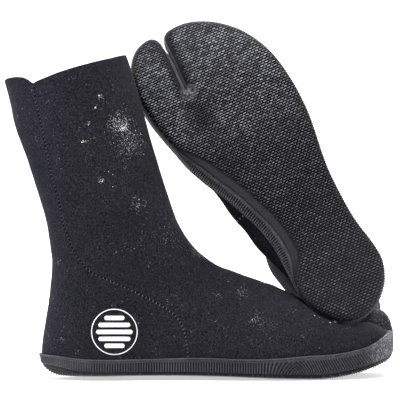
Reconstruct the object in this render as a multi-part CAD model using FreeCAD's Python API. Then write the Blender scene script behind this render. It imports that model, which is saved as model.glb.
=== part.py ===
import FreeCAD, Part
import math, os
from FreeCAD import Vector, Matrix

# Pair of split-toe neoprene boots.  Millimetres, +Z up.
# The right boot stands on its sole, toe along +X, outer side along -Y.
# The left boot leans on it: heel on the right toes, sole outwards, collar on the ground behind.
# Each boot is drawn in a boot frame: x from heel back to toe, w towards the outer (lateral) side, z up from the sole.

os.makedirs("parts", exist_ok=True)

# ---------------------------------------------------------------- driving dimensions
SOLE_LENGTH = 288.0        # heel back to toe tip, outside the rand
FOAM = 3.0                 # neoprene sheet
RAND = 3.0                 # rubber wall outside the neoprene
SOLE_T = 3.5               # outsole rubber
INSOLE_T = 2.5             # loose footbed
TAPE_T = 0.6               # glued inside seam tape
THREAD_T = 0.45            # seam thread standing proud
PRINT_T = 0.3              # print film
SLIT_GAP = 2.4             # gap between the two toe lobes
ANKLE = (62.0, 92.0)       # x, z of the ankle flex axis
SHAFT_HALF_W = 35.0        # half width of the shaft, side to side
LEFT_LEAN = 6.6            # the left shaft leans this much more towards its toe, degrees
LEFT_SIDE = 5.5            # and this much towards its outer side
BADGE = (60.8, 38.5, 19.0) # x, z, radius of the round print

# left boot placement: unit vectors of its frame and the place of its heel
PHI, THETA = math.radians(8.5), math.radians(5.0)
AX0 = (-0.436, 0.900)
n0 = math.hypot(*AX0)
ux, uz = AX0[0] / n0, AX0[1] / n0
XL = Vector(ux * math.cos(PHI), math.sin(PHI), uz * math.cos(PHI))
Z0 = Vector(-ux * math.sin(PHI), math.cos(PHI), -uz * math.sin(PHI))
Y0 = Vector(uz, 0, -ux)
WL = Y0 * math.cos(THETA) + Z0 * math.sin(THETA)
ZL = Z0 * math.cos(THETA) - Y0 * math.sin(THETA)
HEEL = Vector(262.4, -10.0, 49.2)

# shift that puts the origin at the bottom centre of the pair's box
SHIFT = Vector(-133.5, -113.45, 0.0)

# ---------------------------------------------------------------- outlines (along, across) of the sole
SX, SW, W0 = 1.0227, 1.007, 15.0
LAT = [(262.0, -31.4), (268.0, -31.2), (272.2, -30.0), (275.4, -27.4), (277.2, -23.0), (277.9, -14.0), (276.4, -4.5), (272.3, 5.4),
       (265.9, 15.2), (257.3, 24.0), (249.3, 30.4), (237, 37.3), (224.7, 42.3), (213.7, 45.2), (201.4, 47.2), (187.8, 48.6),
       (174.7, 48.9), (160.5, 48.3), (146.8, 47.0), (133.1, 45.5), (120.7, 44.6), (107.9, 44.3), (92.2, 44.6), (82.1, 45.0),
       (71.4, 46.0), (62.6, 47.4), (55.7, 48.8), (47.4, 49.7), (37.2, 49.4), (27.3, 47.8), (17.6, 44.2), (10.6, 39.6),
       (4.1, 33.9), (-0.7, 27.3), (-3.1, 20.5), (-3.7, 13.6), (-2.9, 6.6), (-0.2, -0.4), (4.6, -7.2), (10.8, -12.6), (18.0, -17.2),
       (27.3, -20.6), (37.2, -22.2), (50.0, -22.4), (62.0, -22.3), (74.0, -22.5), (84.4, -23.6), (97.7, -26.7), (109.7, -30.6),
       (119.3, -34.3), (133.2, -41.2), (147.0, -49.0), (159.1, -54.8), (168.0, -58.4), (181.9, -62.2), (196.7, -66.2), (209.6, -69.2),
       (223.3, -71.0), (232.7, -71.6), (244.4, -71.0), (256.0, -68.6), (264.3, -64.9), (271.5, -58.6), (275.6, -51.6), (277.2, -44.6),
       (276.6, -39.8), (274.0, -36.4), (269.6, -34.4), (262.0, -33.8)]
SLIT_ROOT = 224.0


def outline(t):
    """Closed wire of the sole outline moved inwards by t: one smooth curve and the straight slit."""
    n = len(LAT)
    raw = [((a + 3.7) * SX, (b - W0) * SW) for a, b in LAT]
    pts = []
    for i in range(n):
        a = raw[max(i - 1, 0)]
        b = raw[min(i + 1, n - 1)]
        if i == 0:
            nx, ny = 0.0, 1.0
        elif i == n - 1:
            nx, ny = 0.0, -1.0
        else:
            dx, dy = b[0] - a[0], b[1] - a[1]
            length = math.hypot(dx, dy)
            nx, ny = -dy / length, dx / length
            nx, ny = -nx, -ny
            # the curve runs slit - outer side - heel - inner side, so the inside is on its right in (x, w) with w up
            nx, ny = dy / length * -1.0, dx / length
        pts.append((raw[i][0] + nx * t, raw[i][1] + ny * t))
    keep = []
    for i, p in enumerate(pts):
        if t <= 0 or i in (0, n - 1) or dist_raw(p, raw) >= t * 0.985:
            keep.append(p)
    v = [Vector(x, y, 0) for x, y in keep]
    main = Part.BSplineCurve()
    main.interpolate(v)
    xr = (SLIT_ROOT + 3.7) * SX - t
    a, b = v[0], v[-1]
    ra, rb = Vector(xr, a.y, 0), Vector(xr, b.y, 0)
    edges = [main.toShape(), Part.LineSegment(b, rb).toShape(), Part.LineSegment(rb, ra).toShape(), Part.LineSegment(ra, a).toShape()]
    return Part.Wire(edges)


def seg_dist(p, a, b):
    vx, vy = b[0] - a[0], b[1] - a[1]
    l2 = vx * vx + vy * vy
    s = 0.0 if l2 == 0 else max(0.0, min(1.0, ((p[0] - a[0]) * vx + (p[1] - a[1]) * vy) / l2))
    return math.hypot(p[0] - a[0] - s * vx, p[1] - a[1] - s * vy)


def dist_raw(p, poly):
    return min(seg_dist(p, poly[i], poly[i + 1]) for i in range(len(poly) - 1))


# outline without the slit, for the height of the foot
HULL = [((a + 3.7) * SX, (b - W0) * SW) for a, b in LAT[4:-5]]


SIGNED = {}


def signed(p):
    key = (round(p[0], 2), round(p[1], 2))
    if key not in SIGNED:
        SIGNED[key] = signed_distance(p)
    return SIGNED[key]


def signed_distance(p):
    d = min(seg_dist(p, HULL[i], HULL[(i + 1) % len(HULL)]) for i in range(len(HULL)))
    inside = False
    for i in range(len(HULL)):
        a, b = HULL[i], HULL[(i + 1) % len(HULL)]
        if (a[1] > p[1]) != (b[1] > p[1]) and p[0] < (b[0] - a[0]) * (p[1] - a[1]) / (b[1] - a[1]) + a[0]:
            inside = not inside
    return -d if inside else d


def table(rows, v):
    if v <= rows[0][0]:
        return rows[0][1]
    for (a, fa), (b, fb) in zip(rows, rows[1:]):
        if v <= b:
            return fa + (fb - fa) * (v - a) / (b - a)
    return rows[-1][1]


def spring(x):
    return 0.0 if x < 228 else 14.0 * ((x - 228) / 60.0) ** 2


TOP = [(-20, 32), (30, 34), (50, 44), (70, 60), (90, 78), (105, 90), (120, 96), (130, 96), (140.6, 92.5), (150.9, 88.5), (161.3, 84.2), (171.7, 80.4),
       (182.1, 77), (192.4, 73.4), (202.8, 69), (215, 64), (230, 59), (245, 55), (260, 52), (272, 49), (282, 44), (300, 38)]
BACK = [(20, 3.4), (30, 4.6), (39.1, 5.6), (53.7, 7.0), (72.2, 9.0), (84.6, 10.2), (95.2, 10.6), (108.5, 8.9), (126.6, 6.3), (142.4, 3.3), (157.8, -1.4),
        (173.3, -7.6), (188.8, -13.8), (204.5, -19.0), (225.2, -24.2), (242.5, -28.9), (290, -41)]
FRONT = [(20, 108), (45, 124), (72, 127), (90, 125.5), (108, 119.5), (124.5, 112.8), (139.1, 107.6), (154.6, 102.4), (171.2, 97.1), (187.9, 91.9),
         (206.5, 86.8), (221.1, 82.7), (251.2, 73.8), (263.4, 69.6), (290, 61)]
HALF = [(20, 27.5), (30, 29.5), (40, 31.5), (55, 33), (75, 33), (95, 32.6), (125, 34), (160, 35.2), (200, 35.6), (265, 35.0), (290, 35.0)]
SEAM = [(-9.5, 262), (-5.3, 238.7), (-4.1, 223.1), (-1.4, 210.7), (1.6, 197.1), (5.4, 181.6), (8.9, 166), (13, 152.6), (17.2, 140.1), (20.3, 124.5), (22.9, 118.8),
        (27.7, 106.6), (33.8, 96), (42.1, 87.2), (52.6, 82.2), (64, 77.3), (76.5, 71.6), (89.9, 65.1), (102.4, 57.8), (110.6, 51.4), (115.9, 43.1),
        (118.8, 32.7), (120.4, 20.3), (121, -5)]
RAND_TOP = [(-5, 20.5), (11, 19.5), (33.8, 17.2), (57.8, 16.5), (102.5, 17.5), (130, 18), (161, 17), (192.4, 17.5), (218, 19.5), (239.2, 21.2), (256, 24.0),
            (270, 28.2), (280.5, 34), (286.5, 37.5), (295, 41)]


def bend(p, lean, side, weight=1.0):
    """Turns a boot-frame point (x, w, z) about the ankle: lean towards the toe, side towards the outer side."""
    a, s = math.radians(lean * weight), math.radians(side * weight)
    x, w, z = p[0] - ANKLE[0], p[1], p[2] - ANKLE[1]
    x, z = x * math.cos(a) + z * math.sin(a), -x * math.sin(a) + z * math.cos(a)
    w, z = w * math.cos(s) + z * math.sin(s), -w * math.sin(s) + z * math.cos(s)
    return (x + ANKLE[0], w, z + ANKLE[1])


def ease(v):
    v = max(0.0, min(1.0, v))
    return v * v * (3 - 2 * v)


def ring_points(z, t, lean, side, count=28):
    xb, xf, b = table(BACK, z), table(FRONT, z), table(HALF, z)
    xc, a = (xb + xf) / 2, (xf - xb) / 2 - t
    b = b - t
    weight = ease((z - 62) / 60.0)
    out = []
    for i in range(count):
        q = 2 * math.pi * i / count
        c, s = math.cos(q), math.sin(q)
        e = 2.15
        px = a * math.copysign(abs(c) ** (2 / e), c)
        pw = b * math.copysign(abs(s) ** (2 / e), s)
        out.append(bend((xc + px, pw, z), lean, side, weight))
    return out


LEVELS = [21, 30, 42, 56, 72, 90, 108, 126, 146, 170, 196, 222, 246, 284]


def shaft_solid(t, lean, side):
    wires = []
    for z in LEVELS:
        c = Part.BSplineCurve()
        c.interpolate([Vector(*p) for p in ring_points(z, t, lean, side)], PeriodicFlag=True)
        wires.append(Part.Wire([c.toShape()]))
    return Part.makeLoft(wires, True, False)


def dome_height(x, w, t, lowered):
    radius = table([(0, 30), (60, 32), (130, 40), (190, 44), (240, 34), (290, 26)], x)
    d = signed((x, w)) + RAND + t
    q = min(1.0, -d / radius)
    base = 0.45
    k = 1 - base * base
    if q >= 0:
        g = math.sqrt(max(0.0, 1 - (1 - q) ** 2 * k))
    else:
        g = base + q * k / base
        g = max(g, -1.0)
    top = spring(x) * 0.35 + table(TOP, x) * g - t
    if lowered is not None:
        limit = lowered(x, w)
        if limit is not None:
            top = min(top, limit - t)
    return top


def under(t, lowered):
    rows = []
    xs = [-24 + 9.0 * i for i in range(37)]
    ws = [-104 + 7.4 * j for j in range(22)]
    for x in xs:
        rows.append([Vector(x, w, dome_height(x, w, t, lowered)) for w in ws])
    s = Part.BSplineSurface()
    s.interpolate(rows)
    return s.toShape().extrude(Vector(0, 0, -260))


def prism(t, z0=-30.0, z1=180.0):
    f = Part.Face(outline(t + RAND))
    f.translate(Vector(0, 0, z0))
    return f.extrude(Vector(0, 0, z1 - z0))


def slab(points, w0=-160.0, w1=160.0):
    """Prism across the boot from a side outline of (x, z) points."""
    v = [Vector(x, w0, z) for x, z in points]
    f = Part.Face(Part.makePolygon(v + [v[0]]))
    return f.extrude(Vector(0, w1 - w0, 0))


XS = [-60, 100, 200, 228, 234, 240, 246, 252, 258, 264, 270, 276, 282, 288, 296]


def layer(lo, hi):
    """Side outline between two heights that follow the toe spring. Heights are numbers or tables."""
    f = lambda h, x: (table(h, x) if isinstance(h, list) else h + spring(x))
    return slab([(x, f(lo, x)) for x in XS] + [(x, f(hi, x)) for x in reversed(XS)])


def rand_band(lo, hi_table):
    xs = [-60, -5, 11, 33.8, 57.8, 102.5, 130, 161, 192.4, 218, 228, 239.2, 250, 260, 268, 275.5, 284.8, 295]
    return slab([(x, lo + spring(x)) for x in xs] + [(x, table(hi_table, x)) for x in reversed(xs)])


def biggest(shape):
    s = sorted(shape.Solids, key=lambda q: -q.Volume)
    return s


def one(shape, name, least=1.0):
    """Every real solid of a boolean result, slivers dropped."""
    good = [s for s in biggest(shape) if s.Volume > least]
    if not good:
        raise RuntimeError("empty " + name)
    top = good[0].Volume
    good = [s for s in good if s.Volume > 0.002 * top]
    return good[0] if len(good) == 1 else Part.makeCompound(good)


def strip(points, half):
    """Closed band of a half width along an open side polyline."""
    left, right = [], []
    for i, p in enumerate(points):
        a, b = points[max(i - 1, 0)], points[min(i + 1, len(points) - 1)]
        dx, dz = b[0] - a[0], b[1] - a[1]
        length = math.hypot(dx, dz)
        nx, nz = -dz / length * half, dx / length * half
        left.append((p[0] + nx, p[1] + nz))
        right.append((p[0] - nx, p[1] - nz))
    return left + right[::-1]


def halfspace(sign, lo=0.0):
    """A big box on one side of the boot's middle plane."""
    b = Part.makeBox(600, 300, 500, Vector(-200, 0, -100))
    if sign < 0:
        b = Part.makeBox(600, 300, 500, Vector(-200, -300, -100))
    return b


def boot(lean, side, lowered):
    out = {}
    ax, az = ANKLE
    foot = {t: prism(t).common(under(t, lowered)) for t in (-RAND, -THREAD_T, 0.0, FOAM, FOAM + TAPE_T)}
    body = {}
    for t in (-THREAD_T, 0.0, FOAM, FOAM + TAPE_T):
        body[t] = foot[t].fuse(shaft_solid(t, lean, side))
    print("solids", {k: (v.isValid(), len(v.Solids), round(v.Volume)) for k, v in body.items()})

    r2 = lambda x, z: bend((x, 0, z), lean, 0)[::2]
    # side regions
    gap = 0.6
    back_up = (-90, az + gap + 152 * 15 / 62)
    front_up = (210, az + gap + 148 * math.tan(math.radians(38)))
    back_lo = (-90, az - gap - 152 * 22 / 62)
    front_lo = (300, az - gap + 238 * math.tan(math.radians(5)))
    c0, c1 = (-80, 242.5 - 51.1 * 0.2122), (140, 242.5 + 168.9 * 0.2122)
    col0, col1 = r2(*c0), r2(*c1)
    shaft_seam = [r2(*p) for p in SEAM[:13]]
    # shaft seam polyline is cut where it meets the upper boundary
    upper = slab([back_up, (ax, az + gap), front_up, (front_up[0], 400), (-90, 400)]).common(slab([(-200, -50), (300, -50), (300, col1[1] + (300 - col1[0]) * (col1[1] - col0[1]) / (col1[0] - col0[0])), (-200, col0[1] - (col0[0] + 200) * (col1[1] - col0[1]) / (col1[0] - col0[0]))]))
    front_region = slab(shaft_seam + [(shaft_seam[-1][0] + 8, 60), (300, 60), (300, 420), (shaft_seam[0][0] - 6, 420)])
    wedge_back = slab([(ax - 0.6, az), back_up_in(back_up, -0.3), back_lo_in(back_lo, 0.3)])
    wedge_front = slab([(ax + 0.6, az), back_up_in(front_up, -0.3), back_lo_in(front_lo, 0.3)])
    floor_top = SOLE_T + FOAM
    lower = slab([back_lo, (ax, az - gap), front_lo, (300, floor_top + spring(300))] + [(x, floor_top + spring(x)) for x in reversed(XS[:-1])] + [(-90, floor_top)])
    seam_low = [p for p in SEAM if p[0] > 20]
    vamp_region = slab([(14, 140)] + seam_low + [(300, -5), (300, 140)])

    shell = body[0.0].cut(body[FOAM])
    print("shell", shell.isValid(), len(shell.Solids))
    up = shell.common(upper)
    out["shaft_front"] = one(up.common(front_region), "shaft_front")
    out["shaft_back"] = one(up.cut(front_region), "shaft_back")
    out["ankle_flex_back"] = one(shell.common(wedge_back), "ankle_flex_back")
    out["ankle_flex_front"] = one(shell.common(wedge_front), "ankle_flex_front")
    low = shell.common(lower)
    out["vamp"] = one(low.common(vamp_region), "vamp")
    out["heel_cup"] = one(low.cut(vamp_region), "heel_cup")

    out["outsole"] = one(prism(-RAND).common(layer(0.0, SOLE_T)), "outsole")
    out["bottom_panel"] = one(prism(0.0).common(layer(SOLE_T, SOLE_T + FOAM)), "bottom_panel")
    out["insole"] = one(prism(FOAM + 0.4).common(layer(SOLE_T + FOAM, SOLE_T + FOAM + INSOLE_T)), "insole")

    ring = prism(-RAND).common(under(-RAND, None)).cut(foot[0.0])
    xr = (SLIT_ROOT + 3.7) * SX
    slit_w = (-32.6 - W0) * SW
    slit_box = Part.makeBox(80, 9.4, 80, Vector(xr - 8, slit_w - 4.7, 0))
    wall = one(ring.common(rand_band(SOLE_T, RAND_TOP)).cut(slit_box), "rand")
    out["rand"] = one(wall.cut(shaft_solid(0.0, lean, side)), "rand")
    out["toe_split_rubber"] = one(ring.common(slit_box).common(layer(SOLE_T, [(-60, 30), (228, 30), (296, 36)])), "toe_split_rubber")

    tape_floor = SOLE_T + FOAM + INSOLE_T + 0.4
    inside = body[FOAM].cut(body[FOAM + TAPE_T])
    proud = body[-THREAD_T].cut(body[0.0])
    shaft_line = [r2(*p) for p in SEAM[1:12]]
    foot_line = [p for p in SEAM if 40 < p[0] < 120.9] + [(120.9, tape_floor)]
    for name, sign in (("lateral", 1), ("medial", -1)):
        side_box = halfspace(sign)
        out["shaft_tape_" + name] = one(inside.common(slab(strip(shaft_line, 6.0))).common(upper).common(side_box), "tape")
        out["foot_tape_" + name] = one(inside.common(slab(strip(foot_line, 6.0))).common(lower).common(side_box).common(slab([(-90, tape_floor), (300, tape_floor), (300, 200), (-90, 200)])), "tape")
        out["shaft_stitching_" + name] = one(proud.common(slab(strip(shaft_line, 1.0))).common(upper).common(side_box), "stitch")
        out["foot_stitching_" + name] = one(proud.common(slab(strip([p for p in foot_line if p[1] > 19.5], 1.0))).common(lower).common(side_box), "stitch")
    bx, bz, br = BADGE
    disc = Part.makeCylinder(br, 120, Vector(bx, 0, bz), Vector(0, 1, 0))
    film = proud.common(disc)
    out["heel_print"] = one(film, "print")
    return out


def back_up_in(p, d):
    return (p[0], p[1] + d)


def back_lo_in(p, d):
    return (p[0], p[1] + d)


# ---------------------------------------------------------------- placement of the two boots
M = Matrix(XL.x, WL.x, ZL.x, HEEL.x, XL.y, WL.y, ZL.y, HEEL.y, XL.z, WL.z, ZL.z, HEEL.z, 0, 0, 0, 1)


def to_left(p):
    """World point to the left boot's frame."""
    v = Vector(*p) - HEEL
    return (v.dot(XL), v.dot(WL), v.dot(ZL))


def left_covers(x, y, z, clear):
    """True where the left boot, grown by a clearance, holds the point."""
    bx, bw, bz = to_left((x, y, z))
    if bz < -clear or bz > 150:
        return False
    if bz < 95 and signed((bx, bw)) < clear and bx > 0:
        h = dome_height(min(max(bx, -20), 290), bw, -RAND, None)
        if bz < h + clear:
            return True
    lv = max(21.0, bz)
    wgt = ease((lv - 62) / 60.0)
    q = unbend((bx, bw, bz), LEFT_LEAN, LEFT_SIDE, wgt)
    zz = max(21.0, q[2])
    xb, xf, b = table(BACK, zz) - 1.0, table(FRONT, zz) + 1, table(HALF, zz)
    xc, a = (xb + xf) / 2, (xf - xb) / 2 + clear
    return ((q[0] - xc) / a) ** 2 + (q[1] / (b + clear)) ** 2 < 1


def unbend(p, lean, side, weight):
    a, s = math.radians(lean * weight), math.radians(side * weight)
    x, w, z = p[0] - ANKLE[0], p[1], p[2] - ANKLE[1]
    w, z = w * math.cos(s) - z * math.sin(s), w * math.sin(s) + z * math.cos(s)
    x, z = x * math.cos(a) - z * math.sin(a), x * math.sin(a) + z * math.cos(a)
    return (x + ANKLE[0], w, z + ANKLE[1])


PRESSED = {}


def pressed(x, w):
    """Highest place the right upper may reach under the left heel, or None."""
    if (x, w) not in PRESSED:
        PRESSED[(x, w)] = press_limit(x, w)
    return PRESSED[(x, w)]


def press_limit(x, w):
    y = -w
    if x < 120 or x > 300:
        return None
    z = 24.0
    while z < 110:
        if left_covers(x, y, z, 5.2):
            return z
        z += 1.0
    return None


def main():
    right = boot(0.0, 0.0, pressed)
    left = boot(LEFT_LEAN, LEFT_SIDE, None)
    made = {}
    for name, s in right.items():
        m = s.mirror(Vector(0, 0, 0), Vector(0, 1, 0))
        m.translate(SHIFT)
        made["right_" + name] = m
    for name, s in left.items():
        m = s.copy()
        m = place(m)
        m.translate(SHIFT)
        made["left_" + name] = m
    box = None
    for name, s in made.items():
        s.exportStep("parts/" + name + ".step")
        bb = s.optimalBoundingBox(False, False)
        box = bb if box is None else box.united(bb)
        print("%-28s valid %s solids %d vol %.0f  x %.1f %.1f  y %.1f %.1f  z %.1f %.1f" % (
            name, s.isValid(), len(s.Solids), s.Volume, bb.XMin, bb.XMax, bb.YMin, bb.YMax, bb.ZMin, bb.ZMax))
    print("BOX", box)


def place(shape):
    p = FreeCAD.Placement(M)
    s = shape.copy()
    s.Placement = p.multiply(s.Placement)
    return s


main()
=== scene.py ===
import bpy
import math
import numpy as np
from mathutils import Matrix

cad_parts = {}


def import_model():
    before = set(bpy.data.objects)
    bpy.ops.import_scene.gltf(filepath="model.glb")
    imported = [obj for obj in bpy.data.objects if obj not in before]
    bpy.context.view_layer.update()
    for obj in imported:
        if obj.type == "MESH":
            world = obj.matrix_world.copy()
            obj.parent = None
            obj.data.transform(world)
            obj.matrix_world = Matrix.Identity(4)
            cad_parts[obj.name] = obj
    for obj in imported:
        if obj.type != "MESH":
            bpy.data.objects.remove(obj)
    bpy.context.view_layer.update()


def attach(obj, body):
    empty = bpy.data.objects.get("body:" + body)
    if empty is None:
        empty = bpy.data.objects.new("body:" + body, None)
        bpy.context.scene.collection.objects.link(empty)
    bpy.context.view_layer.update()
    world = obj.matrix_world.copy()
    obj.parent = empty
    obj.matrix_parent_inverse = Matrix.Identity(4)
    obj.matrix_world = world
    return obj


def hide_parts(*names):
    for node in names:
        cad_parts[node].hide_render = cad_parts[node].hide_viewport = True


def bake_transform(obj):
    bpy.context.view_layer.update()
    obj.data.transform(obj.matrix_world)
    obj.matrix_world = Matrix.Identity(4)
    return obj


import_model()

# ------------------------------------------------------------------ shape of a boot, boot frame, millimetres
# x from heel to toe, w towards the outer side, z up from the sole
PHI, THETA = math.radians(8.5), math.radians(5.0)
LEFT_LEAN, LEFT_SIDE = 6.6, 5.5
ANKLE = (62.0, 92.0)
_n = math.hypot(-0.436, 0.9)
_ux, _uz = -0.436 / _n, 0.9 / _n
XL = np.array([_ux * math.cos(PHI), math.sin(PHI), _uz * math.cos(PHI)])
_Z0 = np.array([-_ux * math.sin(PHI), math.cos(PHI), -_uz * math.sin(PHI)])
_Y0 = np.array([_uz, 0.0, -_ux])
WL = _Y0 * math.cos(THETA) + _Z0 * math.sin(THETA)
ZL = _Z0 * math.cos(THETA) - _Y0 * math.sin(THETA)
HEEL = np.array([262.4, -10.0, 49.2])
SHIFT = np.array([-133.5, -113.45, 0.0])
FOAM = 3.0

LAT = np.array([(262.0, -31.4), (268.0, -31.2), (272.2, -30.0), (275.4, -27.4), (277.2, -23.0), (277.9, -14.0), (276.4, -4.5), (272.3, 5.4),
       (265.9, 15.2), (257.3, 24.0), (249.3, 30.4), (237, 37.3), (224.7, 42.3), (213.7, 45.2), (201.4, 47.2), (187.8, 48.6),
       (174.7, 48.9), (160.5, 48.3), (146.8, 47.0), (133.1, 45.5), (120.7, 44.6), (107.9, 44.3), (92.2, 44.6), (82.1, 45.0),
       (71.4, 46.0), (62.6, 47.4), (55.7, 48.8), (47.4, 49.7), (37.2, 49.4), (27.3, 47.8), (17.6, 44.2), (10.6, 39.6),
       (4.1, 33.9), (-0.7, 27.3), (-3.1, 20.5), (-3.7, 13.6), (-2.9, 6.6), (-0.2, -0.4), (4.6, -7.2), (10.8, -12.6), (18.0, -17.2),
       (27.3, -20.6), (37.2, -22.2), (50.0, -22.4), (62.0, -22.3), (74.0, -22.5), (84.4, -23.6), (97.7, -26.7), (109.7, -30.6),
       (119.3, -34.3), (133.2, -41.2), (147.0, -49.0), (159.1, -54.8), (168.0, -58.4), (181.9, -62.2), (196.7, -66.2), (209.6, -69.2),
       (223.3, -71.0), (232.7, -71.6), (244.4, -71.0), (256.0, -68.6), (264.3, -64.9), (271.5, -58.6), (275.6, -51.6), (277.2, -44.6),
       (276.6, -39.8), (274.0, -36.4), (269.6, -34.4), (262.0, -33.8)])
SX, SW, W0 = 1.0227, 1.007, 15.0
SLIT_ROOT = (224.0 + 3.7) * SX
SLIT_W = (-32.6 - W0) * SW


def ease(v):
    v = np.clip(v, 0, 1)
    return v * v * (3 - 2 * v)


def catmull(pts, per):
    """Points along a smooth open curve through pts."""
    p = np.vstack([2 * pts[0] - pts[1], pts, 2 * pts[-1] - pts[-2]])
    out = []
    t = np.linspace(0, 1, per, endpoint=False)[:, None]
    for i in range(1, len(p) - 2):
        a, b, c, d = p[i - 1], p[i], p[i + 1], p[i + 2]
        out.append(0.5 * ((2 * b) + (c - a) * t + (2 * a - 5 * b + 4 * c - d) * t ** 2 + (3 * b - a - 3 * c + d) * t ** 3))
    out.append(p[-2][None])
    return np.vstack(out)


def resample(p, n, closed):
    q = np.vstack([p, p[:1]]) if closed else p
    s = np.r_[0, np.cumsum(np.linalg.norm(np.diff(q, axis=0), axis=1))]
    t = np.linspace(0, s[-1], n + 1 if closed else n)
    r = np.stack([np.interp(t, s, q[:, k]) for k in range(q.shape[1])], 1)
    return r[:-1] if closed else r


def outline_loop():
    """Closed outline of the sole: outer side, heel, inner side, both walls of the split."""
    main = catmull(np.c_[(LAT[:, 0] + 3.7) * SX, (LAT[:, 1] - W0) * SW], 8)
    a, b = main[0], main[-1]
    r = (a[1] - b[1]) / 2
    c = (a[1] + b[1]) / 2
    k = np.linspace(0, math.pi, 9)[1:-1]
    root = np.c_[SLIT_ROOT + r - r * np.sin(k), c - r * np.cos(k)]
    s = np.linspace(0, 1, 30)[:, None]
    w1 = b + (np.array([SLIT_ROOT + r, b[1]]) - b) * s[1:]
    w2 = np.array([SLIT_ROOT + r, a[1]]) + (a - np.array([SLIT_ROOT + r, a[1]])) * s[:-1]
    return np.vstack([main, w1, root, w2])


LOOP = outline_loop()
GX0, GW0, GS = -45.0, -135.0, 1.0


def build_grid():
    gx = np.arange(GX0, 335, GS)
    gw = np.arange(GW0, 75, GS)
    X, W = np.meshgrid(gx, gw, indexing="ij")
    P = np.stack([X.ravel(), W.ravel()], 1)
    A = resample(LOOP, 520, True)
    B = np.roll(A, -1, 0)
    best = np.full(len(P), 1e9)
    inside = np.zeros(len(P), bool)
    for a, b in zip(A, B):
        v = b - a
        l2 = v @ v
        if l2 < 1e-12:
            continue
        t = np.clip(((P - a) @ v) / l2, 0, 1)
        d = P - a - t[:, None] * v
        best = np.minimum(best, (d * d).sum(1))
        c = (a[1] > P[:, 1]) != (b[1] > P[:, 1])
        if c.any():
            inside ^= c & (P[:, 0] < (b[0] - a[0]) * (P[:, 1] - a[1]) / (b[1] - a[1] + 1e-30) + a[0])
    d = np.sqrt(best)
    d[inside] *= -1
    return d.reshape(X.shape)


GRID = build_grid()


def bilinear(grid, x0, y0, s, x, y):
    fx = np.clip((x - x0) / s, 0, grid.shape[0] - 1.001)
    fy = np.clip((y - y0) / s, 0, grid.shape[1] - 1.001)
    i, j = fx.astype(int), fy.astype(int)
    u, v = fx - i, fy - j
    return grid[i, j] * (1 - u) * (1 - v) + grid[i + 1, j] * u * (1 - v) + grid[i, j + 1] * (1 - u) * v + grid[i + 1, j + 1] * u * v


def d2(x, w):
    """Distance to the outline in plan, negative inside."""
    return bilinear(GRID, GX0, GW0, GS, x, w)


def table(rows):
    r = np.array(rows, float)
    return lambda v: np.interp(v, r[:, 0], r[:, 1])


def smooth_table(rows):
    r = np.array(rows, float)
    x, y = r[:, 0], r[:, 1]
    m = np.gradient(y, x)

    def f(v):
        v = np.clip(v, x[0], x[-1])
        i = np.clip(np.searchsorted(x, v) - 1, 0, len(x) - 2)
        h = x[i + 1] - x[i]
        t = (v - x[i]) / h
        return ((2 * t ** 3 - 3 * t ** 2 + 1) * y[i] + (t ** 3 - 2 * t ** 2 + t) * h * m[i]
                + (-2 * t ** 3 + 3 * t ** 2) * y[i + 1] + (t ** 3 - t ** 2) * h * m[i + 1])
    return f


def spring(x):
    return 14.2 * (np.maximum(x - 224, 0) / 63.5) ** 1.9


_low = [(-30, 30), (0, 31), (30, 34), (50, 42), (70, 58), (90, 76), (105, 88), (118, 94), (130, 95), (140.6, 92), (150.9, 88), (161.3, 84), (171.7, 80.3), (182.1, 77), (192.4, 73.4)]
TOP_LAT = smooth_table(_low + [(202.8, 69), (215, 63.5), (228, 57.5), (240, 52.5), (250, 49), (260, 46.2), (270, 43.6), (278, 41.8), (284, 40.2), (290, 38), (300, 36)])
TOP_BIG = smooth_table(_low + [(202.8, 69.5), (215, 65), (228, 61), (240, 58), (250, 56.5), (262, 54.3), (273, 52.9), (280, 51.0), (286.5, 48.0), (290, 45.4), (300, 41.4)])
BACK = smooth_table([(0, 4.5), (20, 3.2), (30, 3.9), (39.1, 4.9), (53.7, 6.6), (72.2, 8.8), (84.6, 10.3), (95.2, 10.6), (108.5, 8.9), (126.6, 6.3), (142.4, 2.3),
                     (157.8, -2.4), (173.3, -8.5), (188.8, -14.4), (204.5, -19.4), (225.2, -24.6), (242.5, -29.0), (290, -41.5)])
FRONT = smooth_table([(0, 100), (20, 110), (45, 122), (72, 127), (90, 126), (108, 119.5), (124.5, 112.8), (139.1, 107.6), (154.6, 102.4), (171.2, 97.1), (187.9, 91.9),
                      (206.5, 86.8), (221.1, 82.7), (251.2, 73.8), (263.4, 69.6), (290, 61)])
HALF = smooth_table([(0, 27), (20, 30.0), (40, 32.2), (55, 33.2), (75, 33), (95, 32.6), (125, 34), (160, 35.2), (200, 35.6), (265, 35.0), (290, 35.0)])
RAND_TOP = smooth_table([(-5, 20.5), (11, 19.5), (33.8, 17.2), (57.8, 16.5), (102.5, 17.5), (130, 18), (161, 17), (192.4, 17.5), (218, 19.5), (239.2, 20.6), (256, 23.2),
                         (270, 27.2), (280.5, 33.0), (286.5, 36.6), (295, 40)])
COLLAR = table([(-60, 238), (-28.9, 242.3), (-25.3, 243.3), (-19, 243.8), (-12.9, 243.3), (-8.7, 241.3), (-5.0, 238.4), (-4.3, 238.4), (-1.4, 240.2), (5.9, 243.1), (16.3, 247.2),
                (29.7, 251.5), (45.3, 255.9), (58.7, 259.3), (69.6, 262.8), (100, 271)])
SEAM = np.array([(-9.5, 262), (-4.6, 238.7), (-1.4, 223.1), (1.8, 210.7), (5.0, 197.1), (8.3, 181.6), (11.3, 166), (14.9, 152.6), (18.4, 140.1), (20.9, 124.5), (23.1, 118.8),
        (27.7, 106.6), (33.8, 96), (42.1, 87.2), (52.6, 82.2), (64, 77.3), (76.5, 71.6), (89.9, 65.1), (102.4, 57.8), (110.6, 51.4), (115.9, 43.1),
        (118.8, 32.7), (120.4, 20.3), (121, -5)])
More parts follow.
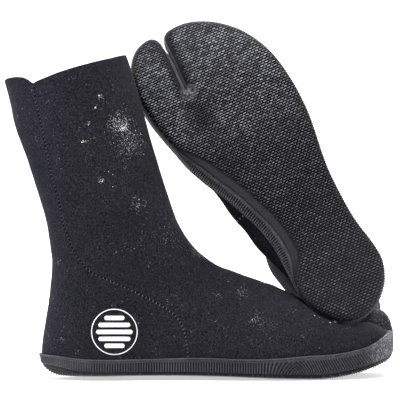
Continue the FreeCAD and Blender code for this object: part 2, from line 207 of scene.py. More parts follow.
SEAM_LINE = catmull(SEAM, 6)
RAD_LAT = table([(0, 30), (60, 32), (130, 42), (190, 44), (225, 36), (250, 28), (270, 19), (290, 14)])
RAD_BIG = table([(0, 30), (60, 32), (130, 42), (190, 44), (225, 30), (245, 18.5), (270, 15), (290, 12.5)])
POWER = table([(0, 2.0), (90, 1.9), (130, 1.75), (190, 1.8), (235, 2.0), (255, 2.2), (272, 2.8), (290, 3.2)])


def lobe(w):
    return ease((SLIT_W + 5 - w) / 10.0)


def foot_field(x, w, z, t=3.0, bulge=True):
    """Dome over the sole outline moved in by t, negative inside."""
    m = lobe(w)
    rad = RAD_LAT(x) * (1 - m) + RAD_BIG(x) * m + (2.0 if t < 1.5 else 0.0)
    sp = spring(x)
    d = d2(x, w) + t
    if bulge:
        zz = z - sp
        d = d - 5.0 * np.exp(-((x - 100) / 48.0) ** 2) * ease((-w - 8) / 14.0) * ease((zz - 14) / 16.0) * (1 - ease((zz - 45) / 50.0))
    top = TOP_LAT(x) * (1 - m) + TOP_BIG(x) * m
    z0 = 13.0 + 7.0 * ease((x - 252) / 30.0)
    h = top - (t - 3.0) * 0.95 - z0
    p = POWER(x)
    a = np.maximum(rad + d, 0) / rad
    b = np.maximum(z - z0 - sp * 0.35, 0) / np.maximum(h - sp * 0.35, 4.0)
    f = ((a ** p + b ** p) ** (1 / p) - 1) * rad
    return np.where(b <= 0, d, np.maximum(f, -40))


def shaft_field(x, w, z, t=0.0):
    xb, xf, b = BACK(z), FRONT(z), HALF(z)
    xc, a = (xb + xf) / 2, (xf - xb) / 2 - t
    b = b - t
    e = 2.15
    X, W = np.abs(x - xc) / a, np.abs(w) / b
    s = X ** e + W ** e
    grad = np.sqrt((X ** (e - 1) / a) ** 2 + (W ** (e - 1) / b) ** 2) * np.maximum(s, 1e-9) ** (1 / e - 1)
    return np.maximum((s ** (1 / e) - 1) / np.maximum(grad, 0.3 / a), -30)


def upper_field(x, w, z, t=0.0):
    f1 = foot_field(x, w, z, 3.0 + t)
    f2 = shaft_field(x, w, z, t)
    k = 4.0 + 20.0 * ease((x - 70) / 35.0)
    h = np.maximum(k - np.abs(f1 - f2), 0) / k
    return np.minimum(f1, f2) - h * h * k / 4


def rubber_field(x, w, z):
    """Outside of the rubber wall."""
    return np.minimum(foot_field(x, w, z, 0.0, False), shaft_field(x, w, z, -2.7))


def gradient(f, V, h=0.25):
    g = np.empty_like(V)
    for k in range(3):
        d = np.zeros(3)
        d[k] = h
        A, B = V + d, V - d
        g[:, k] = (f(A[:, 0], A[:, 1], A[:, 2]) - f(B[:, 0], B[:, 1], B[:, 2])) / (2 * h)
    return g


def onto(f, V, steps=3, limit=2.5):
    """Moves points onto the surface f = 0."""
    V = V.copy()
    for _ in range(steps):
        g = gradient(f, V)
        v = f(V[:, 0], V[:, 1], V[:, 2])
        m = v / np.maximum((g * g).sum(1), 0.05)
        V -= g * np.clip(m, -limit, limit)[:, None]
    return V


def normals_of(f, V):
    g = gradient(f, V, 0.6)
    return g / np.maximum(np.linalg.norm(g, axis=1), 1e-9)[:, None]


def bend(V, lean, side):
    """A straight boot's points on the boot whose shaft leans towards the toe and to the outer side."""
    x, w, z = V[:, 0] - ANKLE[0], V[:, 1], V[:, 2] - ANKLE[1]
    wt = ease((V[:, 2] - 62) / 60.0)
    a, s = np.radians(lean) * wt, np.radians(side) * wt
    x, z = x * np.cos(a) + z * np.sin(a), -x * np.sin(a) + z * np.cos(a)
    w, z = w * np.cos(s) + z * np.sin(s), -w * np.sin(s) + z * np.cos(s)
    return np.stack([x + ANKLE[0], w, z + ANKLE[1]], 1)


# ------------------------------------------------------------------ the left boot as seen from the right one
def right_to_left(x, w, z):
    """Right boot frame to left boot frame."""
    q = np.stack([x + SHIFT[0], -w + SHIFT[1], z + 0 * x], -1) - SHIFT - HEEL
    return q @ XL, q @ WL, q @ ZL


def pressed_field(x, w, z):
    """The right upper with the left boot's heel pressed into it."""
    f = upper_field(x, w, z)
    a, b, c = right_to_left(x, w, z)
    g = np.minimum(foot_field(a, b, np.maximum(c, 14.0), 0.0, False), shaft_field(a, b, c, -2.7))
    edge = np.maximum(-c, 0)
    g = np.maximum(g, -20) + 0.0
    g = np.where(edge > 0, np.sqrt(np.maximum(g, 0) ** 2 + edge ** 2) + np.minimum(g, 0) * (edge < 1), g)
    g = np.where(c > 92, 30.0, g)
    c2 = 0.5 - g
    k = 4.5
    h = np.maximum(k - np.abs(f - c2), 0) / k
    return np.maximum(f, c2) + h * h * k / 4


# ------------------------------------------------------------------ meshing
def surface_nets(F, o, h):
    S = F < 0
    c = np.zeros(tuple(n - 1 for n in F.shape), np.int8)
    corners = [(i, j, k) for i in (0, 1) for j in (0, 1) for k in (0, 1)]
    sl = lambda d, n: slice(d, n - 1 + d)
    for q in corners:
        c += S[sl(q[0], F.shape[0]), sl(q[1], F.shape[1]), sl(q[2], F.shape[2])]
    mixed = (c > 0) & (c < 8)
    cells = np.argwhere(mixed)
    idx = np.full(c.shape, -1, np.int64)
    idx[mixed] = np.arange(len(cells))
    acc = np.zeros((len(cells), 3))
    cnt = np.zeros(len(cells))
    for axis in range(3):
        e = np.zeros(3, int)
        e[axis] = 1
        for q in corners:
            if q[axis]:
                continue
            a = cells + q
            b = a + e
            fa = F[a[:, 0], a[:, 1], a[:, 2]]
            fb = F[b[:, 0], b[:, 1], b[:, 2]]
            x = (fa < 0) != (fb < 0)
            t = np.where(x, fa / np.where(x, fa - fb, 1), 0)
            acc += np.where(x[:, None], a + t[:, None] * e, 0)
            cnt += x
    V = o + h * acc / cnt[:, None]
    quads = []
    for axis in range(3):
        b, c3 = [(1, 2), (2, 0), (0, 1)][axis]
        a0 = [slice(None)] * 3
        a1 = [slice(None)] * 3
        a0[axis], a1[axis] = slice(0, -1), slice(1, None)
        x = S[tuple(a0)] != S[tuple(a1)]
        p = np.argwhere(x)
        ok = np.ones(len(p), bool)
        for k in (b, c3):
            ok &= (p[:, k] > 0) & (p[:, k] < F.shape[k] - 1)
        p = p[ok]
        eb = np.zeros(3, int)
        ec = np.zeros(3, int)
        eb[b], ec[c3] = 1, 1
        q = np.stack([idx[tuple((p - eb - ec).T)], idx[tuple((p - ec).T)], idx[tuple(p.T)], idx[tuple((p - eb).T)]], 1)
        inside_first = S[tuple(p.T)]
        q[~inside_first] = q[~inside_first][:, ::-1]
        quads.append(q)
    return V, np.vstack(quads)


def quads_to_tris(V, Q):
    a = np.linalg.norm(V[Q[:, 0]] - V[Q[:, 2]], axis=1) <= np.linalg.norm(V[Q[:, 1]] - V[Q[:, 3]], axis=1)
    A, B = Q[a], Q[~a]
    return np.vstack([A[:, [0, 1, 2]], A[:, [0, 2, 3]], B[:, [0, 1, 3]], B[:, [1, 2, 3]]])


def edges_of(T, n):
    E = np.sort(np.vstack([T[:, [0, 1]], T[:, [1, 2]], T[:, [2, 0]]]), 1)
    u, inv = np.unique(E[:, 0] * n + E[:, 1], return_inverse=True)
    return np.stack([u // n, u % n], 1), inv


def split(V, T, fv):
    """Cuts triangles where fv crosses zero."""
    n = len(V)
    E, inv = edges_of(T, n)
    a, b = E[:, 0], E[:, 1]
    x = fv[a] * fv[b] < 0
    if not x.any():
        return V, T, fv
    t = fv[a[x]] / (fv[a[x]] - fv[b[x]])
    V2 = np.vstack([V, V[a[x]] + (V[b[x]] - V[a[x]]) * t[:, None]])
    ix = np.full(len(E), -1)
    ix[x] = n + np.arange(x.sum())
    e = ix[inv].reshape(3, -1).T
    cnt = (e >= 0).sum(1)
    out = [T[cnt == 0]]
    one = cnt == 1
    if one.any():
        t1, e1 = T[one], e[one]
        r = np.argmax(e1 >= 0, 1)
        k = np.arange(len(t1))
        A, B, C, M = t1[k, r], t1[k, (r + 1) % 3], t1[k, (r + 2) % 3], e1[k, r]
        out += [np.stack([A, M, C], 1), np.stack([M, B, C], 1)]
    two = cnt == 2
    if two.any():
        t2, e2 = T[two], e[two]
        r = (np.argmax(e2 < 0, 1) + 2) % 3
        k = np.arange(len(t2))
        A, B, C, M0, M2 = t2[k, r], t2[k, (r + 1) % 3], t2[k, (r + 2) % 3], e2[k, r], e2[k, (r + 2) % 3]
        out += [np.stack([A, M0, M2], 1), np.stack([M0, B, C], 1), np.stack([M0, C, M2], 1)]
    return V2, np.vstack(out), np.r_[fv, np.zeros(x.sum())]


def level(V, T, g, value, f=None, snap=0.45):
    """Puts an edge loop along g = value. g takes points. Nearby vertices are moved onto it first."""
    fv = g(V) - value
    near = np.abs(fv) < snap * 2.5
    if near.any():
        P = V[near]
        gr = np.empty_like(P)
        for k in range(3):
            d = np.zeros(3)
            d[k] = 0.2
            gr[:, k] = (g(P + d) - g(P - d)) / 0.4
        if f is not None:
            N = normals_of(f, P)
            gr = gr - N * (gr * N).sum(1)[:, None]
        l2 = (gr * gr).sum(1)
        mv = fv[near] / np.maximum(l2, 1e-6)
        dist = np.abs(fv[near]) / np.sqrt(np.maximum(l2, 1e-6))
        ok = (dist < snap) & (l2 > 0.02)
        i = np.flatnonzero(near)[ok]
        V = V.copy()
        V[i] = P[ok] - gr[ok] * mv[ok][:, None]
        fv[i] = 0.0
    V, T, fv = split(V, T, fv)
    return V, T, fv


def tidy(V, T):
    """Drops unused vertices and empty triangles."""
    T = T[(T[:, 0] != T[:, 1]) & (T[:, 1] != T[:, 2]) & (T[:, 2] != T[:, 0])]
    u = np.unique(T)
    m = np.full(len(V), -1)
    m[u] = np.arange(len(u))
    return V[u], m[T], u


def relax(V, T, f, fixed, steps):
    """Evens the spacing of a mesh along the surface f = 0."""
    E, _ = edges_of(T, len(V))
    a, b = E[:, 0], E[:, 1]
    deg = np.bincount(a, minlength=len(V)) + np.bincount(b, minlength=len(V))
    for _ in range(steps):
        acc = np.zeros_like(V)
        for k in range(3):
            acc[:, k] = np.bincount(a, V[b, k], len(V)) + np.bincount(b, V[a, k], len(V))
        L = acc / deg[:, None] - V
        N = normals_of(f, V)
        L -= N * (L * N).sum(1)[:, None]
        V = np.where(fixed[:, None], V, V + 0.6 * L)
    return onto(f, V, 2)


def boundary(T, n):
    """Directed boundary edges."""
    D = np.vstack([T[:, [0, 1]], T[:, [1, 2]], T[:, [2, 0]]])
    k = D[:, 0] * n + D[:, 1]
    r = D[:, 1] * n + D[:, 0]
    return D[~np.isin(k, r)]


def shell(V, T, inner):
    """Closed sheet between V and inner."""
    n = len(V)
    B = boundary(T, n)
    F = np.vstack([T, T[:, ::-1] + n, np.stack([B[:, 1], B[:, 0], B[:, 0] + n], 1), np.stack([B[:, 1], B[:, 0] + n, B[:, 1] + n], 1)])
    return np.vstack([V, inner]), F


# ------------------------------------------------------------------ fields that cut the upper into panels
_gx, _gz = np.meshgrid(np.arange(-50, 175, 1.0), np.arange(-15, 300, 1.0), indexing="ij")


def _seam_grid():
    P = np.stack([_gx.ravel(), _gz.ravel()], 1)
    best = np.full(len(P), 1e9)
    sgn = np.zeros(len(P))
    L = resample(SEAM_LINE, 150, False)
    for a, b in zip(L, L[1:]):
        v = b - a
        t = np.clip(((P - a) @ v) / (v @ v), 0, 1)
        d = P - a - t[:, None] * v
        q = (d * d).sum(1)
        m = q < best
        best[m] = q[m]
        sgn[m] = np.sign(v[0] * (P[m, 1] - a[1]) - v[1] * (P[m, 0] - a[0]))
    return (np.sqrt(best) * sgn).reshape(_gx.shape)


SEAM_GRID = _seam_grid()


def seam_field(V):
    """Positive in front of the seam."""
    return bilinear(SEAM_GRID, -50, -15, 1.0, V[:, 0], V[:, 2])


def collar_field(V):
    return V[:, 2] - COLLAR(V[:, 0])


def rand_field(V):
    return V[:, 2] - (RAND_TOP(V[:, 0]) - 5.5)


rng = np.random.RandomState(7)
_k = rng.normal(size=(14, 3))
_k /= np.linalg.norm(_k, axis=1)[:, None]
_len = rng.uniform(13, 46, 14)
_ph = rng.uniform(0, 6.28, 14)


def undulate(V):
    """Gentle unevenness of the sheet."""
    out = np.zeros(len(V))
    for k, l, p in zip(_k, _len, _ph):
        out += np.sin(V @ k * (6.2832 / l) + p) * (l / 46.0) ** 0.8
    return out * 0.13


def edge_round(e, r):
    """How far a rounded edge falls back at a distance e from it."""
    q = np.clip(r - e, 0, r)
    return r - np.sqrt(np.maximum(r * r - q * q, 0))


def canonical_upper():
    h = 2.2
    o = np.array([-42.0, -94.0, 6.0])
    nx, nw, nz = 152, 63, 123
    X, W, Z = np.meshgrid(o[0] + h * np.arange(nx), o[1] + h * np.arange(nw), o[2] + h * np.arange(nz), indexing="ij")
    F = upper_field(X, W, Z)
    V, Q = surface_nets(F, o, h)
    T = quads_to_tris(V, Q)
    V = onto(upper_field, V)
    V = relax(V, T, upper_field, np.zeros(len(V), bool), 4)
    # trim far ends first
    keep = (V[:, 2] > 6.0) & (V[:, 2] < 283)
    T = T[keep[T].all(1)]
    V, T, _ = tidy(V, T)
    V, T, fv = level(V, T, rand_field, 0.0, upper_field)
    T = T[(fv[T] >= -1e-9).all(1) & (fv[T] > 1e-9).any(1)]
    V, T, _ = tidy(V, T)
    for q in (0.0, -0.35, -0.9, -2.0):
        V, T, fv = level(V, T, collar_field, q, upper_field, 0.12 if q else 0.5)
        if q == 0.0:
            T = T[(fv[T] <= 1e-9).all(1) & (fv[T] < -1e-9).any(1)]
            V, T, _ = tidy(V, T)
    for q in (0.0, 0.35, -0.35, 0.9, -0.9, 2.0, -2.0):
        V, T, fv = level(V, T, seam_field, q, upper_field, 0.12 if q else 0.5)
    V = onto(upper_field, V, 1)
    return V, T


def panels(V, T):
    g = seam_field(V)
    c = g[T].mean(1)
    return {"front_panel": T[c > 0], "heel_panel": T[c < 0]}


def cap_field(V):
    """Positive on the rubber cap of the big toe."""
    return np.minimum(V[:, 0] - 263.0 - 0.10 * (V[:, 2] - 30), (SLIT_W - 1.6 - V[:, 1]) * 1.0)


def cap_mesh(V, T):
    """The part of the upper under the big toe's rubber cap."""
    T = T[(V[T][:, :, 0] > 250).all(1) & (V[T][:, :, 1] < SLIT_W + 4).all(1)]
    V, T, _ = tidy(V, T)
    V, T, fv = level(V, T, cap_field, 0.0, upper_field, 0.5)
    T = T[(fv[T] >= -1e-9).all(1) & (fv[T] > 1e-9).any(1)]
    V, T, _ = tidy(V, T)
    for q in (0.35, 0.9, 1.8):
        V, T, _ = level(V, T, cap_field, q, upper_field, 0.12)
    return V, T


# ------------------------------------------------------------------ rubber edge: rounding of the sole's rim
def weights(x, w):
    heel = 1 - ease((x - 4) / 36.0)
    arch = ease((x - 48) / 25.0) * (1 - ease((x - 165) / 35.0)) * ease((-w - 12) / 10.0)
    slit = ease((x - 214) / 10.0) * (1 - ease((np.abs(w - SLIT_W) - 8) / 8.0))
    return heel, arch, slit


def rim(x, w):
    """Horizontal and vertical size of the rounded edge and where the rubber wall stops on it (0 bottom, 1 side)."""
    heel, arch, slit = weights(x, w)
    rh = 5.5 + 13.5 * heel + 3.5 * arch - 1.0 * slit
    rv = 6.5 + 8.5 * heel + 6.5 * arch - 1.0 * slit
    us = 0.12 - 0.02 * heel + 0.66 * arch + 0.08 * slit
    return rh, rv, us


def rocker(x, d=None):
    """The underside lifts a little from the ball of the foot back to the heel, more at its edge than in the middle."""
    r = 1 - ease((x - 105) / 125.0)
    if d is None:
        return 3.4 * r + 0.90
    return (3.4 * r) * (0.45 + 0.55 * (1 - ease(d / 26.0))) + 0.90


def under_height(x, w, d):
    """Height of the sole's underside at a distance d in from the outline."""
    rh, rv, _ = rim(x, w)
    q = np.clip(1 - d / rh, 0, 1)
    return (rv - rocker(x) * 0.6) * (1 - np.sqrt(np.maximum(1 - q * q, 0))) + spring(x) + rocker(x, d)


def ring_smooth(v, sigma):
    n = len(v)
    k = np.arange(-int(4 * sigma), int(4 * sigma) + 1)
    g = np.exp(-0.5 * (k / sigma) ** 2)
    g /= g.sum()
    return np.apply_along_axis(lambda c: np.convolve(np.r_[c[-len(k):], c, c[:len(k)]], g, "same")[len(k):-len(k)], 0, v)


def rubber_wall():
    """The rubber wall all round the sole and along the split: a closed sweep of a profile."""
    N = 2400
    P = resample(LOOP, N, True)
    step = np.linalg.norm(np.roll(LOOP, -1, 0) - LOOP, axis=1).sum() / N
    D = ring_smooth(np.roll(P, -1, 0) - np.roll(P, 1, 0), 2.0)
    D /= np.linalg.norm(D, axis=1)[:, None]
    nrm = np.stack([D[:, 1], -D[:, 0]], 1)
    if d2(*(P[600:601] + nrm[600:601] * 2).T)[0] > 0:
        nrm = -nrm
    x, w = P.T
    rh, rv, us = (ring_smooth(v[:, None], 6.0)[:, 0] for v in rim(x, w))
    _, arch, slit = weights(x, w)
    inslit = ((np.abs(w - SLIT_W) < 1.6) & (x > SLIT_ROOT - 3) & (x < 272)).astype(float)
    top = RAND_TOP(x) * (1 - inslit) + (29 + 6 * (x - 228) / 68.0) * inslit
    top = ring_smooth(top[:, None], 8.0)[:, 0]
    sp = spring(x)
    rk = rocker(x) * 0.6
    rows = []          # (inward distance, height)
    a0 = np.arcsin(1 - us)
    for i in range(9):
        a = a0 + (math.pi / 2 - a0) * i / 8.0
        s = rh * (1 - np.sin(a))
        z = sp + rocker(x, s) + (rv - rk) * (1 - np.cos(a))
        rows.append([s, z])
    lo = sp + rocker(x, 0 * x) + rv - rk
    hi = np.maximum(top - 1.5, lo + 1.0)
    for i in range(1, 9):
        rows.append([np.zeros(N), lo + (hi - lo) * i / 8.0])
    S = np.stack([r[0] for r in rows])
    Z = np.stack([r[1] for r in rows])
    Z = np.minimum(Z, hi[None])
    lip_s, lip_z = [0.1, -0.75, -1.0, -0.75, 0.2, 1.4, 2.5], [0.15, 0.3, 0.7, 1.15, 1.45, 1.55, 1.3]
    proud = 0.62 - 0.42 * ease((x - 255) / 20.0) - 0.25 * (1 - ease((x + 2) / 18.0))
    # the wall follows the foot where the foot leans in
    zz = np.vstack([Z, top[None] - 2.9 + 2.9])
    wall = np.zeros_like(zz)
    lo_s, hi_s = np.full(zz.shape, -0.4), np.full(zz.shape, 20.0)
    XX, WW = np.broadcast_to(x, zz.shape), np.broadcast_to(w, zz.shape)
    for _ in range(11):
        mid = (lo_s + hi_s) / 2
        f = rubber_field((XX + nrm[:, 0] * mid).ravel(), (WW + nrm[:, 1] * mid).ravel(), np.maximum(zz, 14.0).ravel()).reshape(zz.shape)
        out = f > 0
        lo_s = np.where(out, mid, lo_s)
        hi_s = np.where(out, hi_s, mid)
    wall = np.clip(lo_s, 0, 14)
    wall = ring_smooth(wall.T, 3.0).T
    base = wall[-1]
    S = S + wall[:-1]
    arc = np.arange(N) * step
    slant = 0.95 * ease((x - 175) / 45.0)
    amp = (1 - 0.65 * ease((x - 258) / 18.0)) * (1 - ease((10 - np.abs(w - SLIT_W)) / 6.0) * ease((x - 222) / 8.0)) * 0.80
    fall = np.zeros_like(S)
    for i in range(len(S)):
        up = np.minimum(ease((i - 1.0) / 2.0), ease((len(S) - 1.5 - i) / 1.5))
        ribs = 0.5 - 0.5 * np.cos((arc + Z[i] * slant) / 2.1 * 6.2832)
        fall[i] = amp * ribs * up
    S = S + fall
    close = ring_smooth((inslit * (1 - ease((x - 266) / 6.0)))[:, None], 3.0)[:, 0] * 1.12
    ridge = ring_smooth((inslit * (w < SLIT_W))[:, None], 8.0)[:, 0] * (1 - ease((x - 258) / 14.0)) * 1.0
    for i in range(len(S)):
        S[i] -= close * ease((i - 2.0) / 5.0) + ridge * math.exp(-((i - 4.0) / 0.8) ** 2)
    base = base - close
    groove = np.array([1.3, 0.45, 0.1])
    for i, g in enumerate(groove):
        S[i] += g * (0.35 + 0.65 * (1 - arch))
        Z[i] += g * arch * 0.9
    rows = [[S[i], Z[i]] for i in range(len(S))]
    # how deep each point sits in a rib groove, used for painted shade in the grooves
    dark = [np.clip(fall[i] / 0.80, 0, 1) ** 1.1 for i in range(len(S))]
    hatch = 0.10 * np.cos(arc / 1.5 * 6.2832)
    dz = np.gradient(wall, axis=0)
    for a, b in zip(lip_s, lip_z):
        rows.append([base + a * (proud if a < 0 else 1) + (hatch if a < 0 else 0), hi + b])
    inner_lo = np.maximum(sp + 4.2, 0)
    rows.append([base + 3.4, hi + 0.5])
    rows.append([np.minimum(base, wall[4]) + 3.6, (hi + lo) / 2])
    rows.append([S[4] + 3.6, Z[4] + 1.2])
    rows.append([S[0] + 2.6, Z[0] + 1.6])
    R = len(rows)
    tone = np.zeros((R, N))
    tone[:len(dark)] = dark
    V = np.empty((R, N, 3))
    for i, (s, z) in enumerate(rows):
        V[i, :, 0] = x + nrm[:, 0] * s
        V[i, :, 1] = w + nrm[:, 1] * s
        V[i, :, 2] = z
    idx = np.arange(R * N).reshape(R, N)
    A = idx
    B = np.roll(idx, -1, 0)
    Q = np.stack([A, np.roll(A, -1, 1), np.roll(B, -1, 1), B], -1).reshape(-1, 4)
    V = V.reshape(-1, 3)
    T = np.vstack([Q[:, [0, 1, 2]], Q[:, [0, 2, 3]]])
    if signed_volume(V, T) < 0:
        T = T[:, ::-1]
    return V, T, tone.ravel()


def signed_volume(V, T):
    a, b, c = V[T[:, 0]], V[T[:, 1]], V[T[:, 2]]
    return (np.cross(a, b) * c).sum() / 6


def plan_mesh(h, g, cut, levels):
    """Flat triangle mesh of the region g > cut, with edge loops at the levels. g takes points (x, w, anything)."""
    r = h * math.sqrt(3) / 2
    xs = np.arange(-8, 300, r)
    n = int(150 / h)
    P = []
    for i, x in enumerate(xs):
        P.append(np.c_[np.full(n, x), -100 + h * (np.arange(n) + 0.5 * (i % 2)), np.zeros(n)])
    V = np.vstack(P)
    m = len(xs)
    idx = np.arange(m * n).reshape(m, n)
    T = []
    for i in range(m - 1):
        a, b = idx[i], idx[i + 1]
        if i % 2 == 0:
            T += [np.stack([a[:-1], b[:-1], a[1:]], 1), np.stack([a[1:], b[:-1], b[1:]], 1)]
        else:
            T += [np.stack([a[:-1], b[:-1], b[1:]], 1), np.stack([a[:-1], b[1:], a[1:]], 1)]
    T = np.vstack(T)
    v = g(V)
    T = T[(v[T] > cut - 6).any(1)]
    V, T, _ = tidy(V, T)
    V, T, fv = level(V, T, g, cut, None, h * 0.35)
    T = T[(fv[T] >= -1e-9).all(1) & (fv[T] > 1e-9).any(1)]
    V, T, _ = tidy(V, T)
    for q in levels:
        V, T, _ = level(V, T, g, q, None, h * 0.1)
    return V, T


def tread():
    """Underside sheet with its rounded edge, closed on the inside."""
    def g(V):
        d = -d2(V[:, 0], V[:, 1])
        rh, rv, us = rim(V[:, 0], V[:, 1])
        return d - rh * us

    V, T = plan_mesh(2.6, g, 0.0, [0.35, 0.9, 1.8, 3.0, 4.5, 7.0])
    d = -d2(V[:, 0], V[:, 1])
    z = under_height(V[:, 0], V[:, 1], d)
    e = g(V)
    z = z + 0.9 * edge_round(e, 1.1)
    V = np.c_[V[:, :2], z]
    up = V + np.array([0, 0, 2.6])
    T = T[:, ::-1]
    if signed_volume(*shell(V, T, up)) < 0:
        T = T[:, ::-1]
    return shell(V, T, up)


def floor_sheet(inset, lift, thick):
    """A sheet inside the boot that follows the sole."""
    g = lambda V: -d2(V[:, 0], V[:, 1]) - inset
    V, T = plan_mesh(5.0, g, 0.0, [0.5, 1.5])
    z = under_height(V[:, 0], V[:, 1], -d2(V[:, 0], V[:, 1])) + lift
    e = g(V)
    lo = np.c_[V[:, :2], z + edge_round(e, 0.7)]
    hi = np.c_[V[:, :2], z + thick - edge_round(e, 0.7)]
    T = T[:, ::-1]
    if signed_volume(*shell(lo, T, hi)) < 0:
        T = T[:, ::-1]
    return shell(lo, T, hi)


def lug_depth(x, w):
    heel, arch, slit = weights(x, w)
    return 1.6 + 1.4 * heel + 12.6 * arch + 2.4 * slit + 0.5 * ease((x - 262) / 14.0) + 0.4 * ease((-w - 70) / 10)


def lugs():
    """The tread's small oval lugs."""
    P = []
    for i, x in enumerate(np.arange(2, 288, 1.96)):
        w = np.arange(-92, 40, 3.4) + (1.7 if i % 2 else 0.0)
        P.append(np.c_[np.full(len(w), x), w])
    P = np.vstack(P)
    r = np.random.RandomState(11)
    P += r.normal(size=P.shape) * 0.05
    d = -d2(P[:, 0], P[:, 1])
    m = d - lug_depth(P[:, 0], P[:, 1])
    k = m > 0
    P, m = P[k], m[k]
    x, w = P.T
    tall = 0.35 + 0.50 * ease(m / 5.0)
    worn = np.exp(-((x - 208) / 14.0) ** 2 - ((w - SLIT_W - 3) / 8.0) ** 2)
    tall = tall * (1 - 0.75 * worn * r.uniform(0.2, 1.0, len(tall)))
    rings = [(1.0, -0.35), (1.0, 0.35), (0.9, 0.68), (0.68, 0.92), (0.35, 1.0)]
    n = 12
    q = np.arange(n) * 2 * math.pi / n
    c, s = np.cos(q), np.sin(q)
    ex, ew = 0.43 * np.sign(c) * np.abs(c) ** 0.85, 1.16 * np.sign(s) * np.abs(s) ** 0.9
    zf = lambda X, W: under_height(X, W, -d2(X, W))
    h = 0.4
    gx = (zf(x + h, w) - zf(x - h, w)) / (2 * h)
    gw = (zf(x, w + h) - zf(x, w - h)) / (2 * h)
    nn = np.stack([gx, gw, -np.ones_like(gx)], 1)
    nn /= np.linalg.norm(nn, axis=1)[:, None]
    tw = np.stack([np.zeros_like(gx), np.ones_like(gx), gw], 1)
    tw /= np.linalg.norm(tw, axis=1)[:, None]
    tx = np.cross(tw, nn)
    tx *= np.sign(tx[:, :1])
    c0 = np.stack([x, w, zf(x, w)], 1)
    L = len(P)
    grow = 1.0 + 0.22 * ease((x - 120) / 80.0)
    patch = 0.5 + 0.5 * np.sin(x / 3.9 + 1.3 * np.sin(w / 4.7)) * np.sin(w / 5.3 + 1.1 * np.sin(x / 6.1))
    patch = 1 - 0.55 * (1 - ease((x - 70) / 60.0)) * patch
    V = np.empty((L, len(rings) * n + 1, 3))
    for i, (sc, hh) in enumerate(rings):
        for j in range(n):
            V[:, i * n + j] = c0 + tx * (ex[j] * sc * (1 + (grow - 1) * 0.2))[:, None] + tw * (ew[j] * sc * grow)[:, None] + nn * (tall * hh)[:, None]
    V[:, -1] = c0 + nn * tall[:, None]
    F = []
    for i in range(len(rings) - 1):
        for j in range(n):
            a, b = i * n + j, i * n + (j + 1) % n
            F += [(a, b, b + n), (a, b + n, a + n)]
    o = (len(rings) - 1) * n
    F += [(o + j, o + (j + 1) % n, len(rings) * n) for j in range(n)]
    F += [(0, (j + 1) % n, j) for j in range(1, n - 1)]
    F = np.array(F)
    T = (F[None] + (np.arange(L) * V.shape[1])[:, None, None]).reshape(-1, 3)
    V = V.reshape(-1, 3)
    if signed_volume(V, T) < 0:
        T = T[:, ::-1]
    # per-lug colour level: painted highlight on the lug tops, random from lug to lug and brighter towards the toe;
    # darker in the worn patch and mottled at the heel; painted shade on the lugs near the edge of the lugged area
    shade = (0.18 + 0.82 * r.uniform(0, 1, L) ** 1.4) * (0.24 + 0.54 * ease((x - 150) / 75.0)) * (1 - 0.95 * np.sqrt(worn)) * patch * (0.12 + 0.88 * ease((m - 0.5) / 5.0))
    return V, T, np.repeat(shade, len(V) // L)


# ------------------------------------------------------------------ small things on the upper
def side_point(x, z, side, f=upper_field):
    """w of the upper's outer surface on one side at (x, z)."""
    lo, hi = np.zeros_like(x), np.full_like(x, 75.0)
    for _ in range(22):
        m = (lo + hi) / 2
        out = f(x, side * m, z) > 0
        hi = np.where(out, m, hi)
        lo = np.where(out, lo, m)
    return np.stack([x, side * (lo + hi) / 2, z], 1)


def seam_path(step, side, z_lo=19.5, top=-2.5):
    L = resample(SEAM_LINE, 1600, False)
    L = L[(L[:, 1] > RAND_TOP(L[:, 0]) + z_lo - 19.5 + 1.0) & (L[:, 1] < COLLAR(L[:, 0]) + top)]
    n = int(np.linalg.norm(np.diff(L, axis=0), axis=1).sum() / step)
    L = resample(L, n, False)
    return side_point(L[:, 0], L[:, 1], side)


def blobs(C, A, B, N, n=8, flat=0.5):
    """Low ellipsoids: centres C, half axes A and B (vectors) on the surface, height vector N."""
    rings = [(1.0, -0.25), (1.0, 0.0), (0.86, flat), (0.5, 0.87), (0.2, 0.98)]
    q = np.arange(n) * 2 * math.pi / n
    V = np.empty((len(C), len(rings) * n + 1, 3))
    for i, (sc, hh) in enumerate(rings):
        for j in range(n):
            V[:, i * n + j] = C + (A * math.cos(q[j]) + B * math.sin(q[j])) * sc + N * hh
    V[:, -1] = C + N
    F = []
    for i in range(len(rings) - 1):
        for j in range(n):
            a, b = i * n + j, i * n + (j + 1) % n
            F += [(a, b, b + n), (a, b + n, a + n)]
    o = (len(rings) - 1) * n
    F += [(o + j, o + (j + 1) % n, len(rings) * n) for j in range(n)]
    F += [(0, (j + 1) % n, j) for j in range(1, n - 1)]
    F = np.array(F)
    T = (F[None] + (np.arange(len(C)) * V.shape[1])[:, None, None]).reshape(-1, 3)
    V = V.reshape(-1, 3)
    if signed_volume(V, T) < 0:
        T = T[:, ::-1]
    return V, T


def stitches():
    out = []
    for side in (1, -1):
        P = seam_path(3.1, side)
        t = np.gradient(P, axis=0)
        t /= np.linalg.norm(t, axis=1)[:, None]
        N = normals_of(upper_field, P)
        b = np.cross(N, t)
        out.append(blobs(P + N * 0.02, b * 1.05 + t * 0.25, t * 0.32, N * 0.34))
    V = np.vstack([o[0] for o in out])
    T = np.vstack([out[0][1], out[1][1] + len(out[0][0])])
    return V, T


